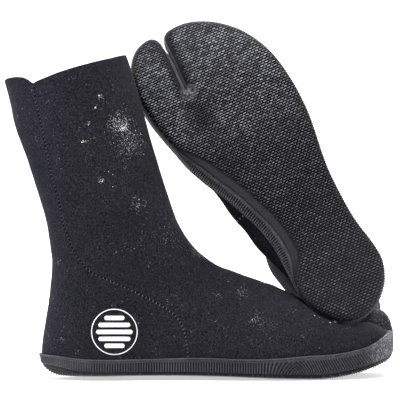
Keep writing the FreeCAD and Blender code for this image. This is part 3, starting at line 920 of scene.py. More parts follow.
def tapes():
    """Glued tape over the seams inside."""
    Vs, Ts, n0 = [], [], 0
    for side in (1, -1):
        P = seam_path(2.5, side, 14.5, -3.5)
        t = np.gradient(P, axis=0)
        t /= np.linalg.norm(t, axis=1)[:, None]
        N = normals_of(upper_field, P)
        b = np.cross(N, t)
        prof = [(-6.0, 3.02), (-3, 3.02), (0, 3.02), (3, 3.02), (6.0, 3.02), (5.6, 3.55), (3, 3.6), (0, 3.6), (-3, 3.6), (-5.6, 3.55)]
        R = len(prof)
        grid = np.empty((len(P), R, 3))
        for i, (u, dn) in enumerate(prof):
            q = P + b * u
            q = onto(upper_field, q, 3)
            grid[:, i] = q - normals_of(upper_field, q) * dn
        idx = np.arange(len(P) * R).reshape(len(P), R)
        a, c = idx[:-1], idx[1:]
        Q = np.stack([a, np.roll(a, -1, 1), np.roll(c, -1, 1), c], -1).reshape(-1, 4)
        T = np.vstack([Q[:, [0, 1, 2]], Q[:, [0, 2, 3]]])
        caps = np.array([(0, j + 1, j) for j in range(1, R - 1)])
        end = caps[:, ::-1] + (len(P) - 1) * R
        T = np.vstack([T, caps, end])
        V = grid.reshape(-1, 3)
        if signed_volume(V, T) < 0:
            T = T[:, ::-1]
        Vs.append(V)
        Ts.append(T + n0)
        n0 += len(V)
    return np.vstack(Vs), np.vstack(Ts)


def beads():
    """Drops of water on the upper, most of them in a few splashes on the outer side."""
    r = np.random.RandomState(23)
    rows = []
    for cx, cz, rad, n in ((67.5, 206, 7, 46), (65, 213, 19, 60), (74, 190, 20, 46), (51, 227, 4, 8), (46, 219, 3, 5), (40, 206, 2.0, 3), (40, 192, 2.6, 5),
                           (51.5, 161, 4, 7), (80, 142, 8, 9), (130, 104, 9, 16), (136, 99, 5, 8), (176, 47, 8, 8), (163, 71, 8, 8), (20, 150, 40, 8), (90, 120, 30, 12)):
        a = r.uniform(0, 6.2832, n)
        q = rad * np.abs(r.normal(0, 0.62, n))
        rows.append(np.c_[cx + q * np.cos(a), cz + q * np.sin(a), r.uniform(0.22, 0.62, n) * (0.8 if rad > 15 else 1.0), np.ones(n)])
    for x, z, size in ((38.5, 191.5, 1.3), (41.5, 206.5, 1.1), (47.0, 218.5, 1.0), (50.3, 228.0, 1.1), (52.5, 161.0, 1.2), (49.5, 159.2, 0.9), (128.5, 106.2, 1.3), (132.0, 102.0, 1.1),
                       (135.5, 99.0, 1.0), (81.5, 141.0, 1.0), (175.0, 47.0, 0.9), (71.5, 204.5, 1.0), (68.0, 207.0, 1.2), (66.0, 204.0, 0.9)):
        rows.append(np.array([[x, z, size, 1.0]]))
    k = 26
    rows.append(np.c_[r.uniform(5, 85, k), r.uniform(110, 235, k), r.uniform(0.3, 0.7, k), -np.ones(k)])
    rows.append(np.c_[r.uniform(60, 190, k), r.uniform(28, 66, k), r.uniform(0.3, 0.7, k), np.where(r.uniform(0, 1, k) > 0.5, 1, -1)])
    R = np.vstack(rows)
    R = R[(R[:, 1] < COLLAR(R[:, 0]) - 3) & (R[:, 0] > BACK(R[:, 1]) + 9) & ((R[:, 0] < FRONT(R[:, 1]) - 7) | (R[:, 1] < 95))]
    out = []
    for side in (1, -1):
        q = R[R[:, 3] == side]
        P = side_point(q[:, 0], q[:, 1], side)
        ok = np.abs(P[:, 1]) < 60
        P, size = P[ok], q[ok, 2]
        N = normals_of(upper_field, P)
        t = np.cross(N, np.array([0.3, 0.0, 1.0]))
        t /= np.linalg.norm(t, axis=1)[:, None]
        b = np.cross(N, t)
        st = r.uniform(0.85, 1.5, len(P))
        P = P + N * undulate(P)[:, None]
        out.append(blobs(P, t * (size * 0.9)[:, None], b * (size * st)[:, None], N * (size * 0.62)[:, None]))
    V = np.vstack([o[0] for o in out])
    T = np.vstack([out[0][1], out[1][1] + len(out[0][0])])
    return V, T


def glints():
    """A row of drops on the right vamp, just under the left heel, painted pale as highlights."""
    r = np.random.RandomState(5)
    rows = []
    for x, z, n, sx, sz in ((222.8, 51.6, 6, 1.1, 0.8), (227.4, 49.4, 5, 1.2, 0.7), (235.5, 45.6, 5, 1.6, 0.7), (239.6, 45.6, 6, 1.5, 0.8)):
        rows.append(np.c_[x + r.normal(0, sx * 0.6, n), z + r.normal(0, sz * 0.6, n), r.uniform(0.28, 0.6, n)])
    R = np.vstack(rows)
    P = side_point(R[:, 0], R[:, 1], 1, pressed_field)
    N = normals_of(pressed_field, P)
    t = np.cross(N, np.array([0.3, 0.0, 1.0]))
    t /= np.linalg.norm(t, axis=1)[:, None]
    b = np.cross(N, t)
    s = R[:, 2:3]
    V1, T1 = blobs(P + N * 0.1, t * s, b * s, N * s * 0.6)
    rows = []
    for x, z, n, sx, size in ((69.0, 202.5, 14, 1.6, 0.42), (68.0, 206.0, 14, 5.0, 0.28), (72.0, 198.0, 8, 7.0, 0.30), (49.6, 228.2, 3, 0.8, 0.55), (46.2, 218.3, 2, 0.5, 0.5), (40.8, 206.0, 2, 0.5, 0.4),
                              (36.8, 191.4, 3, 0.8, 0.5), (51.6, 160.0, 3, 1.2, 0.5), (81.0, 142.5, 3, 1.5, 0.35), (127.6, 106.0, 3, 0.9, 0.45), (131.5, 101.4, 2, 0.6, 0.45), (175.0, 47.5, 2, 1.5, 0.35),
                              (86.0, 189.0, 5, 6.0, 0.28), (60.0, 170.0, 4, 8.0, 0.28)):
        rows.append(np.c_[x + r.normal(0, sx, n), z + r.normal(0, sx, n), size * r.uniform(0.6, 1.1, n)])
    R = np.vstack(rows)
    R = R[(R[:, 1] < COLLAR(R[:, 0]) - 2) & (R[:, 0] < FRONT(R[:, 1]) - 6) | (R[:, 1] < 110)]
    P = side_point(R[:, 0], R[:, 1], 1)
    N = normals_of(upper_field, P)
    t = np.cross(N, np.array([0.3, 0.0, 1.0]))
    t /= np.linalg.norm(t, axis=1)[:, None]
    b = np.cross(N, t)
    s = R[:, 2:3]
    V2, T2 = blobs(P + N * (undulate(P)[:, None] + 0.15), t * s * 0.8, b * s * 1.2, N * s * 0.6)
    return np.vstack([V1, V2]), np.vstack([T1, T2 + len(V1)])


BADGE = (61.5, 39.0, 18.6)


def film_patch(poly_rows):
    """Closed thin film over a grid of (x, z) rows on the outer side."""
    R, C = len(poly_rows), len(poly_rows[0])
    q = np.array(poly_rows).reshape(-1, 2)
    P = side_point(q[:, 0], q[:, 1], 1)
    N = normals_of(upper_field, P)
    und = undulate(P)[:, None]
    hi, lo = P + N * (und + 0.22), P + N * (und - 0.4)
    return hi.reshape(R, C, 3), lo.reshape(R, C, 3)


def heel_print():
    """A plain ring and five rounded bars."""
    Vs, Ts, n0 = [], [], 0

    def add(hi, lo, closed):
        nonlocal n0
        R, C = hi.shape[:2]
        idx = np.arange(R * C).reshape(R, C)
        o = R * C
        T = []
        for r in range(R - 1):
            for c in range(C if closed else C - 1):
                a, b = idx[r, c], idx[r, (c + 1) % C]
                d, e = idx[r + 1, (c + 1) % C], idx[r + 1, c]
                T += [(a, b, d), (a, d, e), (a + o, d + o, b + o), (a + o, e + o, d + o)]
        for c in range(C if closed else C - 1):
            for r, fl in ((0, 1), (R - 1, 0)):
                a, b = idx[r, c], idx[r, (c + 1) % C]
                if fl:
                    a, b = b, a
                T += [(a, b, b + o), (a, b + o, a + o)]
        if not closed:
            for r in range(R - 1):
                for c, fl in ((0, 0), (C - 1, 1)):
                    a, b = idx[r, c], idx[r + 1, c]
                    if fl:
                        a, b = b, a
                    T += [(a, b, b + o), (a, b + o, a + o)]
        V = np.vstack([hi.reshape(-1, 3), lo.reshape(-1, 3)])
        T = np.array(T)
        if signed_volume(V, T) < 0:
            T = T[:, ::-1]
        Vs.append(V)
        Ts.append(T + n0)
        n0 += len(V)

    bx, bz, br = BADGE
    q = np.arange(96) * 2 * math.pi / 96
    hi, lo = film_patch([[(bx + r * math.cos(a), bz + r * math.sin(a)) for a in q] for r in (br - 0.75, br - 0.5, br - 0.25, br)])
    add(hi, lo, True)
    for dz, half, t in ((11.2, 8.2, 1.75), (5.6, 13.0, 1.75), (0.0, 14.8, 1.75), (-5.6, 13.0, 1.75), (-11.2, 8.2, 1.75)):
        cols = []
        m = 31
        for i in range(m):
            u = -1 + 2 * i / (m - 1)
            xx = half * u
            e = max(0.0, abs(xx) - (half - t)) / t
            hh = t * math.sqrt(max(0.0, 1 - e * e)) + 0.02
            cols.append((bx + xx, bz + dz, hh))
        rows = [[(x, z + k * h) for x, z, h in cols] for k in (-1, -0.5, 0, 0.5, 1)]
        hi, lo = film_patch(rows)
        add(hi, lo, False)
    return np.vstack(Vs), np.vstack(Ts)


# ====MATERIALS
class Nodes:
    """Short helper for node trees."""

    def __init__(self, name):
        self.m = bpy.data.materials.new(name)
        self.m.use_nodes = True
        self.t = self.m.node_tree
        self.t.nodes.clear()
        self.out = self.add("ShaderNodeOutputMaterial")
        self.b = self.add("ShaderNodeBsdfPrincipled")
        self.link(self.b.outputs[0], self.out.inputs["Surface"])
        a = self.add("ShaderNodeAttribute")
        a.attribute_name = "boot"
        a.attribute_type = "GEOMETRY"
        self.pos = a.outputs["Vector"]

    def add(self, kind, **kw):
        n = self.t.nodes.new(kind)
        for k, v in kw.items():
            setattr(n, k, v)
        return n

    def link(self, a, b):
        self.t.links.new(a, b)

    def noise(self, scale, detail=3.0, rough=0.55, vec=None, distortion=0.0):
        n = self.add("ShaderNodeTexNoise")
        n.inputs["Scale"].default_value = scale
        n.inputs["Detail"].default_value = detail
        n.inputs["Roughness"].default_value = rough
        n.inputs["Distortion"].default_value = distortion
        self.link(vec or self.pos, n.inputs["Vector"])
        return n.outputs["Fac"]

    def voronoi(self, scale, feature="F1", vec=None, rnd=1.0):
        n = self.add("ShaderNodeTexVoronoi", feature=feature)
        n.inputs["Scale"].default_value = scale
        n.inputs["Randomness"].default_value = rnd
        self.link(vec or self.pos, n.inputs["Vector"])
        return n.outputs["Distance"]

    def cells(self, scale, vec=None):
        n = self.add("ShaderNodeTexVoronoi", feature="F1")
        n.inputs["Scale"].default_value = scale
        self.link(vec or self.pos, n.inputs["Vector"])
        q = self.add("ShaderNodeSeparateColor")
        self.link(n.outputs["Color"], q.inputs[0])
        return q.outputs[0]

    def attribute(self, name):
        a = self.add("ShaderNodeAttribute")
        a.attribute_name = name
        a.attribute_type = "GEOMETRY"
        return a.outputs["Fac"]

    def mapping(self, scale=(1, 1, 1), rot=(0, 0, 0), vec=None):
        n = self.add("ShaderNodeMapping")
        n.inputs["Scale"].default_value = scale
        n.inputs["Rotation"].default_value = rot
        self.link(vec or self.pos, n.inputs["Vector"])
        return n.outputs["Vector"]

    def wave(self, scale, vec=None, kind="BANDS", direction="X", distortion=0.0):
        n = self.add("ShaderNodeTexWave", wave_type=kind, bands_direction=direction)
        n.inputs["Scale"].default_value = scale
        n.inputs["Distortion"].default_value = distortion
        self.link(vec or self.pos, n.inputs["Vector"])
        return n.outputs["Fac"]

    def math(self, op, a, b=0.0, c=None):
        n = self.add("ShaderNodeMath", operation=op)
        for i, v in enumerate((a, b) if c is None else (a, b, c)):
            if isinstance(v, (int, float)):
                n.inputs[i].default_value = v
            else:
                self.link(v, n.inputs[i])
        return n.outputs[0]

    def ramp(self, fac, lo, hi, a=0.0, b=1.0):
        n = self.add("ShaderNodeMapRange")
        n.interpolation_type = "SMOOTHSTEP"
        for k, v in (("From Min", lo), ("From Max", hi), ("To Min", a), ("To Max", b)):
            n.inputs[k].default_value = v
        self.link(fac, n.inputs["Value"])
        return n.outputs["Result"]

    def mix(self, fac, a, b):
        n = self.add("ShaderNodeMix", data_type="RGBA")
        self.link(fac, n.inputs["Factor"])
        for s, v in (("A", a), ("B", b)):
            i = [q for q in n.inputs if q.name == s and q.type == "RGBA"][0]
            if isinstance(v, tuple):
                i.default_value = v + (1.0,)
            else:
                self.link(v, i)
        return [q for q in n.outputs if q.type == "RGBA"][0]

    def bump(self, height, strength, distance, normal=None):
        n = self.add("ShaderNodeBump")
        n.inputs["Strength"].default_value = strength
        n.inputs["Distance"].default_value = distance
        self.link(height, n.inputs["Height"])
        if normal is not None:
            self.link(normal, n.inputs["Normal"])
        return n.outputs["Normal"]

    def shader(self, **kw):
        for k, v in kw.items():
            s = self.b.inputs[k.replace("_", " ")]
            if isinstance(v, (int, float, tuple)):
                s.default_value = v
            else:
                self.link(v, s)
        return self.m


# wet splashes on the outer side of the boot, glossier and with brighter, denser painted glints: x, z, radius, strength
SPLASH = [(68.5, 203.0, 5.5, 0.95), (66.0, 205.5, 14.0, 0.46), (73.0, 192.0, 21.0, 0.22), (51.0, 227.0, 4.0, 0.3), (80.0, 142.0, 10.0, 0.16),
          (51.5, 161.0, 5.0, 0.2), (130.0, 103.0, 9.0, 0.26), (176.0, 48.0, 10.0, 0.16), (163.0, 70.0, 9.0, 0.14), (112.0, 118.0, 26.0, 0.08)]


def neoprene(name):
    """Knit-faced neoprene: a fine even grain on a slightly blue black, a few bright specks painted as glints, wet
    speckled patches with more and brighter painted glints, a painted highlight towards the back of the boot and
    painted shade where the surface faces down. Texture space in mm.
    """
    n = Nodes(name)
    fine = n.noise(1.9, 2.0, 0.6)
    knit = n.math("ADD", n.math("MULTIPLY", n.noise(0.80, 2.0, 0.75), 0.72), n.math("MULTIPLY", fine, 0.28))
    cell = n.cells(1.95, n.mapping(scale=(1.0, 1.0, 0.8), rot=(0.0, 0.35, 0.0)))
    rib = n.wave(0.55, n.mapping(rot=(0, 0.5, 0.3)), direction="X", distortion=1.5)
    big = n.noise(0.018, 3.0, 0.5)
    mid = n.noise(0.11, 3.0, 0.55)
    flat = n.mapping(scale=(1.0, 0.0, 1.0))
    wet = n.math("MULTIPLY", n.ramp(mid, 0.55, 0.72), 0.10)
    for cx, cz, r, k in SPLASH:
        d = n.add("ShaderNodeVectorMath", operation="DISTANCE")
        n.link(flat, d.inputs[0])
        d.inputs[1].default_value = (cx, 0.0, cz)
        wet = n.math("MAXIMUM", wet, n.math("MULTIPLY", n.ramp(d.outputs["Value"], r * 0.15, r, 1.0, 0.0), k))
    base = n.mix(n.ramp(knit, 0.36, 0.66), (0.0012, 0.0012, 0.0022), (0.0205, 0.0197, 0.0275))
    # painted glints: sparse bright specks in the colour, denser and brighter where the wet mask is high
    limit = n.math("SUBTRACT", 0.975, n.math("MULTIPLY", wet, 0.50))
    painted_glint = n.ramp(n.math("SUBTRACT", cell, limit), 0.0, 0.05)
    base = n.mix(n.math("MULTIPLY", painted_glint, n.math("ADD", 0.16, n.math("MULTIPLY", wet, 0.84))), base, (0.6200, 0.6100, 0.6300))
    base = n.mix(n.math("MULTIPLY", n.ramp(n.math("SUBTRACT", 0.30, cell), 0.0, 0.12), wet), base, (0.0012, 0.0012, 0.0018))
    tone = n.mix(n.ramp(big, 0.35, 0.65), (0.86, 0.86, 0.88), (1.10, 1.09, 1.09))
    geo = n.add("ShaderNodeNewGeometry")
    up = n.add("ShaderNodeSeparateXYZ")
    n.link(geo.outputs["Normal"], up.inputs[0])
    at = n.add("ShaderNodeSeparateXYZ")
    n.link(n.pos, at.inputs[0])
    # painted highlight: lighter and bluer towards the back of the boot
    tone = n.mix(n.ramp(at.outputs[0], 2.0, 34.0, 0.75, 0.0), tone, (1.30, 1.28, 1.46))
    # painted shade: darker where the surface faces down
    tone = n.mix(n.ramp(up.outputs[2], -0.55, -0.10, 1.0, 0.0), tone, (0.25, 0.25, 0.34))
    mul = n.add("ShaderNodeMix", data_type="RGBA", blend_type="MULTIPLY")
    mul.inputs["Factor"].default_value = 1.0
    ab = [q for q in mul.inputs if q.type == "RGBA"]
    n.link(base, ab[0])
    n.link(tone, ab[1])
    col = [q for q in mul.outputs if q.type == "RGBA"][0]
    rough = n.math("SUBTRACT", n.ramp(knit, 0.3, 0.7, 0.66, 0.84), n.math("MULTIPLY", wet, 0.3))
    rough = n.math("ADD", rough, n.ramp(up.outputs[2], -0.60, -0.05, 0.30, 0.0))
    h = n.math("ADD", n.math("MULTIPLY", knit, 0.7), n.math("MULTIPLY", rib, 0.12))
    h = n.math("ADD", h, n.math("MULTIPLY", painted_glint, 0.3))
    b1 = n.bump(h, 0.7, 0.0005)
    b2 = n.bump(mid, 0.35, 0.0010, b1)
    return n.shader(Base_Color=col, Roughness=rough, Normal=b2, Sheen_Weight=0.015, Sheen_Roughness=0.45, Sheen_Tint=(0.72, 0.72, 0.85, 1.0), Specular_IOR_Level=0.08)


def rubber(name, dark, light, rough=0.5, mesh=0.5, scuff=0.25, spec=0.5, groove=False, painted_glint_level=0.0, plain=False):
    """Moulded rubber: fine diamond mesh grain, dusty scuffs, gloss where it is wet; optional painted glints as bright
    specks, strongest at the toe, and optional painted shade in the rib grooves.
    """
    n = Nodes(name)
    a = n.wave(0.42, n.mapping(rot=(0.0, 0.9, 0.78)), direction="X")
    b = n.wave(0.42, n.mapping(rot=(0.0, -0.9, -0.78)), direction="X")
    grain = n.math("MULTIPLY", a, b)
    fine = n.noise(2.6, 2.0, 0.6)
    big = n.noise(0.03, 4.0, 0.6)
    mid = n.noise(0.22, 3.0, 0.6)
    col = n.mix(n.ramp(n.math("ADD", n.math("MULTIPLY", big, 0.6), n.math("MULTIPLY", fine, 0.4)), 0.36, 0.66), dark, light)
    if mesh > 0.3:
        col = n.mix(n.math("MULTIPLY", n.ramp(grain, 0.25, 0.8), 0.55), col, tuple(c * 2.6 for c in light))
    # painted glints: bright specks from cells, full strength towards the toe
    if painted_glint_level:
        q = n.add("ShaderNodeSeparateXYZ")
        n.link(n.pos, q.inputs[0])
        toe = n.math("ADD", n.math("MULTIPLY", n.ramp(q.outputs[0], 258.0, 284.0), 1 - painted_glint_level), painted_glint_level)
        col = n.mix(n.math("MULTIPLY", n.ramp(n.cells(0.95), 0.72, 1.0), toe), col, tuple(min(1.0, light[0] * k) for k in (6.0, 6.0, 6.3)))
    dust = n.mix(n.math("MULTIPLY", n.ramp(mid, 0.55, 0.8), scuff), col, tuple(min(1.0, c * 2.2) for c in light))
    gloss = spec
    if plain:
        root = n.add("ShaderNodeVectorMath", operation="DISTANCE")
        n.link(n.mapping(scale=(1.0, 1.0, 0.0)), root.inputs[0])
        root.inputs[1].default_value = (SLIT_ROOT - 3.5, SLIT_W + 1.5, 0.0)
        smear = n.math("MULTIPLY", n.ramp(root.outputs["Value"], 2.5, 9.0, 1.0, 0.0), n.ramp(n.noise(0.55, 3.0, 0.7), 0.38, 0.62))
        dust = n.mix(n.attribute("plain"), dust, (0.0205, 0.0200, 0.0245))
        dust = n.mix(smear, dust, (0.1500, 0.1470, 0.1600))
    # painted shade: darker in the rib grooves
    if groove:
        g = n.attribute("groove")
        dust = n.mix(g, dust, (0.0008, 0.0008, 0.0012))
    r = n.math("SUBTRACT", n.ramp(fine, 0.3, 0.7, rough - 0.06, rough + 0.12), n.math("MULTIPLY", n.ramp(big, 0.52, 0.66), 0.14))
    if groove:
        r = n.math("ADD", r, n.math("MULTIPLY", g, 0.45))
    h = n.math("ADD", n.math("MULTIPLY", grain, mesh), n.math("MULTIPLY", fine, 0.35))
    return n.shader(Base_Color=dust, Roughness=r, Normal=n.bump(h, 0.5, 0.0003), Specular_IOR_Level=gloss)


def lug_rubber(name):
    """The tread's lugs: each one its own shade, some bright on top as a painted highlight."""
    n = Nodes(name)
    each = n.attribute("shade")
    fine = n.noise(2.2, 2.0, 0.6)
    big = n.noise(0.022, 3.0, 0.55)
    lit = n.math("MULTIPLY", each, n.ramp(big, 0.32, 0.66, 0.55, 1.0))
    # pale end of the mix: painted highlight on the lugs
    col = n.mix(lit, (0.0038, 0.0038, 0.0060), (0.5050, 0.5050, 0.5800))
    col = n.mix(n.math("MULTIPLY", n.ramp(fine, 0.45, 0.75), 0.4), col, (0.010, 0.010, 0.012))
    r = n.ramp(fine, 0.3, 0.7, 0.26, 0.42)
    return n.shader(Base_Color=col, Roughness=r, Normal=n.bump(fine, 0.25, 0.0002), Specular_IOR_Level=0.5)


def insole_fabric(name):
    n = Nodes(name)
    knit = n.voronoi(1.3)
    big = n.noise(0.05, 3.0)
    col = n.mix(n.ramp(big, 0.3, 0.7), (0.020, 0.020, 0.024), (0.036, 0.036, 0.042))
    return n.shader(Base_Color=col, Roughness=n.ramp(knit, 0.1, 0.6, 0.8, 0.95), Normal=n.bump(knit, 0.5, 0.0004), Specular_IOR_Level=0.3)


def tape_fabric(name):
    n = Nodes(name)
    w = n.wave(0.9, n.mapping(rot=(0, 0.3, 0)), direction="Z", distortion=0.6)
    f = n.noise(1.5, 2.0)
    col = n.mix(n.ramp(f, 0.3, 0.7), (0.014, 0.014, 0.017), (0.028, 0.028, 0.033))
    return n.shader(Base_Color=col, Roughness=n.ramp(f, 0.3, 0.7, 0.55, 0.7), Normal=n.bump(w, 0.4, 0.0003), Specular_IOR_Level=0.4)


def thread(name):
    n = Nodes(name)
    w = n.wave(2.2, n.mapping(rot=(0.4, 0.7, 0.2)), direction="X")
    f = n.noise(1.2, 2.0)
    col = n.mix(n.ramp(f, 0.3, 0.7), (0.024, 0.023, 0.028), (0.052, 0.050, 0.058))
    q = n.add("ShaderNodeSeparateXYZ")
    n.link(n.pos, q.inputs[0])
    col = n.mix(n.ramp(q.outputs[2], 60.0, 105.0, 0.75, 0.0), col, (0.120, 0.117, 0.130))
    return n.shader(Base_Color=col, Roughness=n.ramp(f, 0.3, 0.7, 0.38, 0.52), Normal=n.bump(w, 0.4, 0.0001), Specular_IOR_Level=0.5)


def film(name):
    n = Nodes(name)
    f = n.noise(0.9, 4.0, 0.65)
    g = n.noise(0.09, 2.0, 0.5)
    col = n.mix(n.ramp(n.math("ADD", n.math("MULTIPLY", f, 0.7), n.math("MULTIPLY", g, 0.3)), 0.33, 0.52), (0.42, 0.42, 0.44), (0.78, 0.78, 0.79))
    return n.shader(Base_Color=col, Roughness=n.ramp(f, 0.3, 0.7, 0.42, 0.6), Normal=n.bump(f, 0.3, 0.0002), Specular_IOR_Level=0.4)


def water(name, dark, light):
    n = Nodes(name)
    f = n.noise(0.4, 2.0)
    col = n.mix(n.ramp(f, 0.3, 0.7), dark, light)
    return n.shader(Base_Color=col, Roughness=n.ramp(f, 0.3, 0.7, 0.05, 0.12), Specular_IOR_Level=0.9)


M_NEO = neoprene("knit_neoprene")
M_RAND = rubber("rand_rubber", (0.0155, 0.0150, 0.0195), (0.0500, 0.0487, 0.0610), 0.44, 0.45, 0.22, 0.15, True, 0.08)
M_CAP = rubber("toe_rubber", (0.0026, 0.0026, 0.0040), (0.0140, 0.0136, 0.0185), 0.50, 0.9, 0.10, 0.16, False, 0.30)
# the sheet between the lugs is near black: painted shade in the gaps between the lugs
M_SOLE = rubber("tread_rubber", (0.0008, 0.0008, 0.0012), (0.0046, 0.0044, 0.0058), 0.55, 0.25, 0.10, 0.10, False, 0.0, True)
M_LUG = lug_rubber("lug_rubber")
M_INSOLE = insole_fabric("footbed_fabric")
M_TAPE = tape_fabric("seam_tape_fabric")
M_THREAD = thread("seam_thread_dark")
M_FILM = film("print_film_pale")
M_WATER = water("water_beads", (0.0100, 0.0098, 0.0125), (0.0300, 0.0295, 0.0340))
# drops painted pale: painted highlights of water glints
M_GLINT = water("water_glints", (0.55, 0.55, 0.56), (0.80, 0.80, 0.81))


# ------------------------------------------------------------------ objects
SLUMP = smooth_table([(0, 0), (20, 0.5), (35, 3.0), (46, 4.0), (62, 6.6), (78, 9.0), (95, 9.4), (110, 8.6), (125, 7.4), (140, 4.8), (155, 2.0), (170, 0.3), (185, 0), (300, 0)])


def place(V, boot):
    """Boot-frame millimetres to row-frame metres."""
    if boot == "right":
        x = V[:, 0] + ease((V[:, 0] - 238) / 50.0) * (1.3 + 2.9 * lobe(V[:, 1]))
        x = x - ease((44 - V[:, 0]) / 40.0) * ease((V[:, 2] - 14) / 9.0) * (0.9 - 0.7 * ease((V[:, 2] - 170) / 30.0) + 0.7 * (1 - ease((V[:, 2] - 26) / 22.0)))
        z = V[:, 2] + 0.9 * ease((V[:, 0] - 104) / 20.0) * (1 - ease((V[:, 0] - 178) / 40.0)) * ease((V[:, 2] - 50) / 30.0) * (1 - ease((V[:, 2] - 150) / 60.0))
        return (np.c_[x, -V[:, 1], z] + SHIFT) / 1000.0
    q = V.copy()
    x, w, z = V.T
    hug = ease((z - 12) / 26.0) * (1 - ease((z - 70) / 45.0)) * (1 - ease((x - 6) / 66.0))
    q[:, 0] += 9.0 * hug
    q[:, 1] -= 3.0 * ease((z - 12) / 26.0) * (1 - ease((z - 70) / 45.0)) * (1 - ease((x - 20) / 70.0)) * ease((w + 5) / 25.0)
    q[:, 1] -= SLUMP(x) * ease((-w - 4) / 24.0) * ease((z - 15) / 18.0) * (1 - ease((z - 95) / 50.0))
    q[:, 1] += ease((x - 110) / 70.0) * (0.7 + 1.0 * ease((w + 10) / 35.0)) + 0.9 * (1 - ease((x - 30) / 50.0)) * ease((w - 5) / 22.0) * (1 - ease((z - 25) / 40.0))
    q[:, 1] += 1.8 * (1 - ease((x - 36) / 24.0)) * ease((w - 5) / 22.0) * (1 - ease((z - 25) / 40.0))
    q[:, 1] -= 1.0 * ease((-w - 10) / 20.0) * ease((x - 105) / 20.0) * (1 - ease((x - 235) / 25.0))
    q[:, 1] += 1.3 * ease((x - 250) / 25.0) * ease((-w - 48) / 15.0)
    q = bend(q, LEFT_LEAN, LEFT_SIDE)
    return (HEEL + q[:, :1] * XL + q[:, 1:2] * WL + q[:, 2:3] * ZL + SHIFT) / 1000.0


def smooth_angle(me, deg):
    try:
        me.set_sharp_from_angle(angle=math.radians(deg))
    except Exception:
        pass


def piece(name, V, T, boot, mat, local=None, sharp=38.0, placed=None, extra=None):
    """Mesh object from boot-frame points. local is where the texture sits, if the points have been moved."""
    W = place(V, boot) if placed is None else placed
    if boot == "right":
        T = T[:, ::-1]
    me = bpy.data.meshes.new(name)
    me.vertices.add(len(W))
    me.vertices.foreach_set("co", W.astype(np.float32).ravel())
    me.loops.add(len(T) * 3)
    me.loops.foreach_set("vertex_index", T.astype(np.int32).ravel())
    me.polygons.add(len(T))
    me.polygons.foreach_set("loop_start", np.arange(0, len(T) * 3, 3, dtype=np.int32))
    me.polygons.foreach_set("loop_total", np.full(len(T), 3, dtype=np.int32))
    me.update(calc_edges=True)
    me.validate()
    a = me.attributes.new("boot", "FLOAT_VECTOR", "POINT")
    L = V if local is None else local
    if len(me.vertices) == len(L):
        a.data.foreach_set("vector", L.astype(np.float32).ravel())
    for key, values in (extra or {}).items():
        b = me.attributes.new(key, "FLOAT", "POINT")
        if len(me.vertices) == len(values):
            b.data.foreach_set("value", values.astype(np.float32))
    me.polygons.foreach_set("use_smooth", np.ones(len(me.polygons), bool))
    smooth_angle(me, sharp)
    me.materials.append(mat)
    o = bpy.data.objects.new(name, me)
    bpy.context.scene.collection.objects.link(o)
    return o


def world(p, boot):
    return tuple(float(v) for v in place(np.array([p], float), boot)[0])


def blend_ankle(o, boot):
    n = np.array([-0.31, 0.0, 0.95])
    A = np.array([ANKLE[0], 0.0, ANKLE[1]])
    if boot == "right":
        s, e = world(A - 20 * n, boot), world(A + 20 * n, boot)
    else:
        a = math.radians(LEFT_LEAN * 0.5)
        n = np.array([n[0] * math.cos(a) + n[2] * math.sin(a), 0, -n[0] * math.sin(a) + n[2] * math.cos(a)])
        s = tuple(float(v) for v in (HEEL + (A - 20 * n) @ np.stack([XL, WL, ZL]) + SHIFT) / 1000)
        e = tuple(float(v) for v in (HEEL + (A + 20 * n) @ np.stack([XL, WL, ZL]) + SHIFT) / 1000)
    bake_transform(o)


UV, UT = canonical_upper()
UN = normals_of(upper_field, UV)
UD = undulate(UV) * ease((UV[:, 2] - 14) / 10.0)
PANELS = panels(UV, UT)
CAP = cap_mesh(UV, UT)
WALL, TREAD, LUGS = rubber_wall(), tread(), lugs()
FOOTBED, BOARD = floor_sheet(7.0, 6.3, 2.4), floor_sheet(3.9, 2.8, 3.2)
STITCH, TAPE, PRINT = stitches(), tapes(), heel_print()
BEADS, GLINTS = beads(), glints()


def panel_shell(boot, T):
    """A 3 mm panel with rounded cut edges."""
    V, T, used = tidy(UV, T)
    N, D = UN[used], UD[used]
    local = V.copy()
    f = upper_field
    if boot == "right":
        near = (V[:, 0] > 175) & (V[:, 2] > 20)
        P = onto(pressed_field, V[near], 6, 3.0)
        V = V.copy()
        V[near] = P
        N = N.copy()
        N[near] = normals_of(pressed_field, P)
    e = np.minimum(np.abs(seam_field(local)), -collar_field(local))
    fall = edge_round(e, 0.9)
    outer = V + N * (D - fall)[:, None]
    inner = V + N * (D - FOAM + fall)[:, None]
    S, F = shell(outer, T, inner)
    return S, F, np.vstack([local, local - N * FOAM])


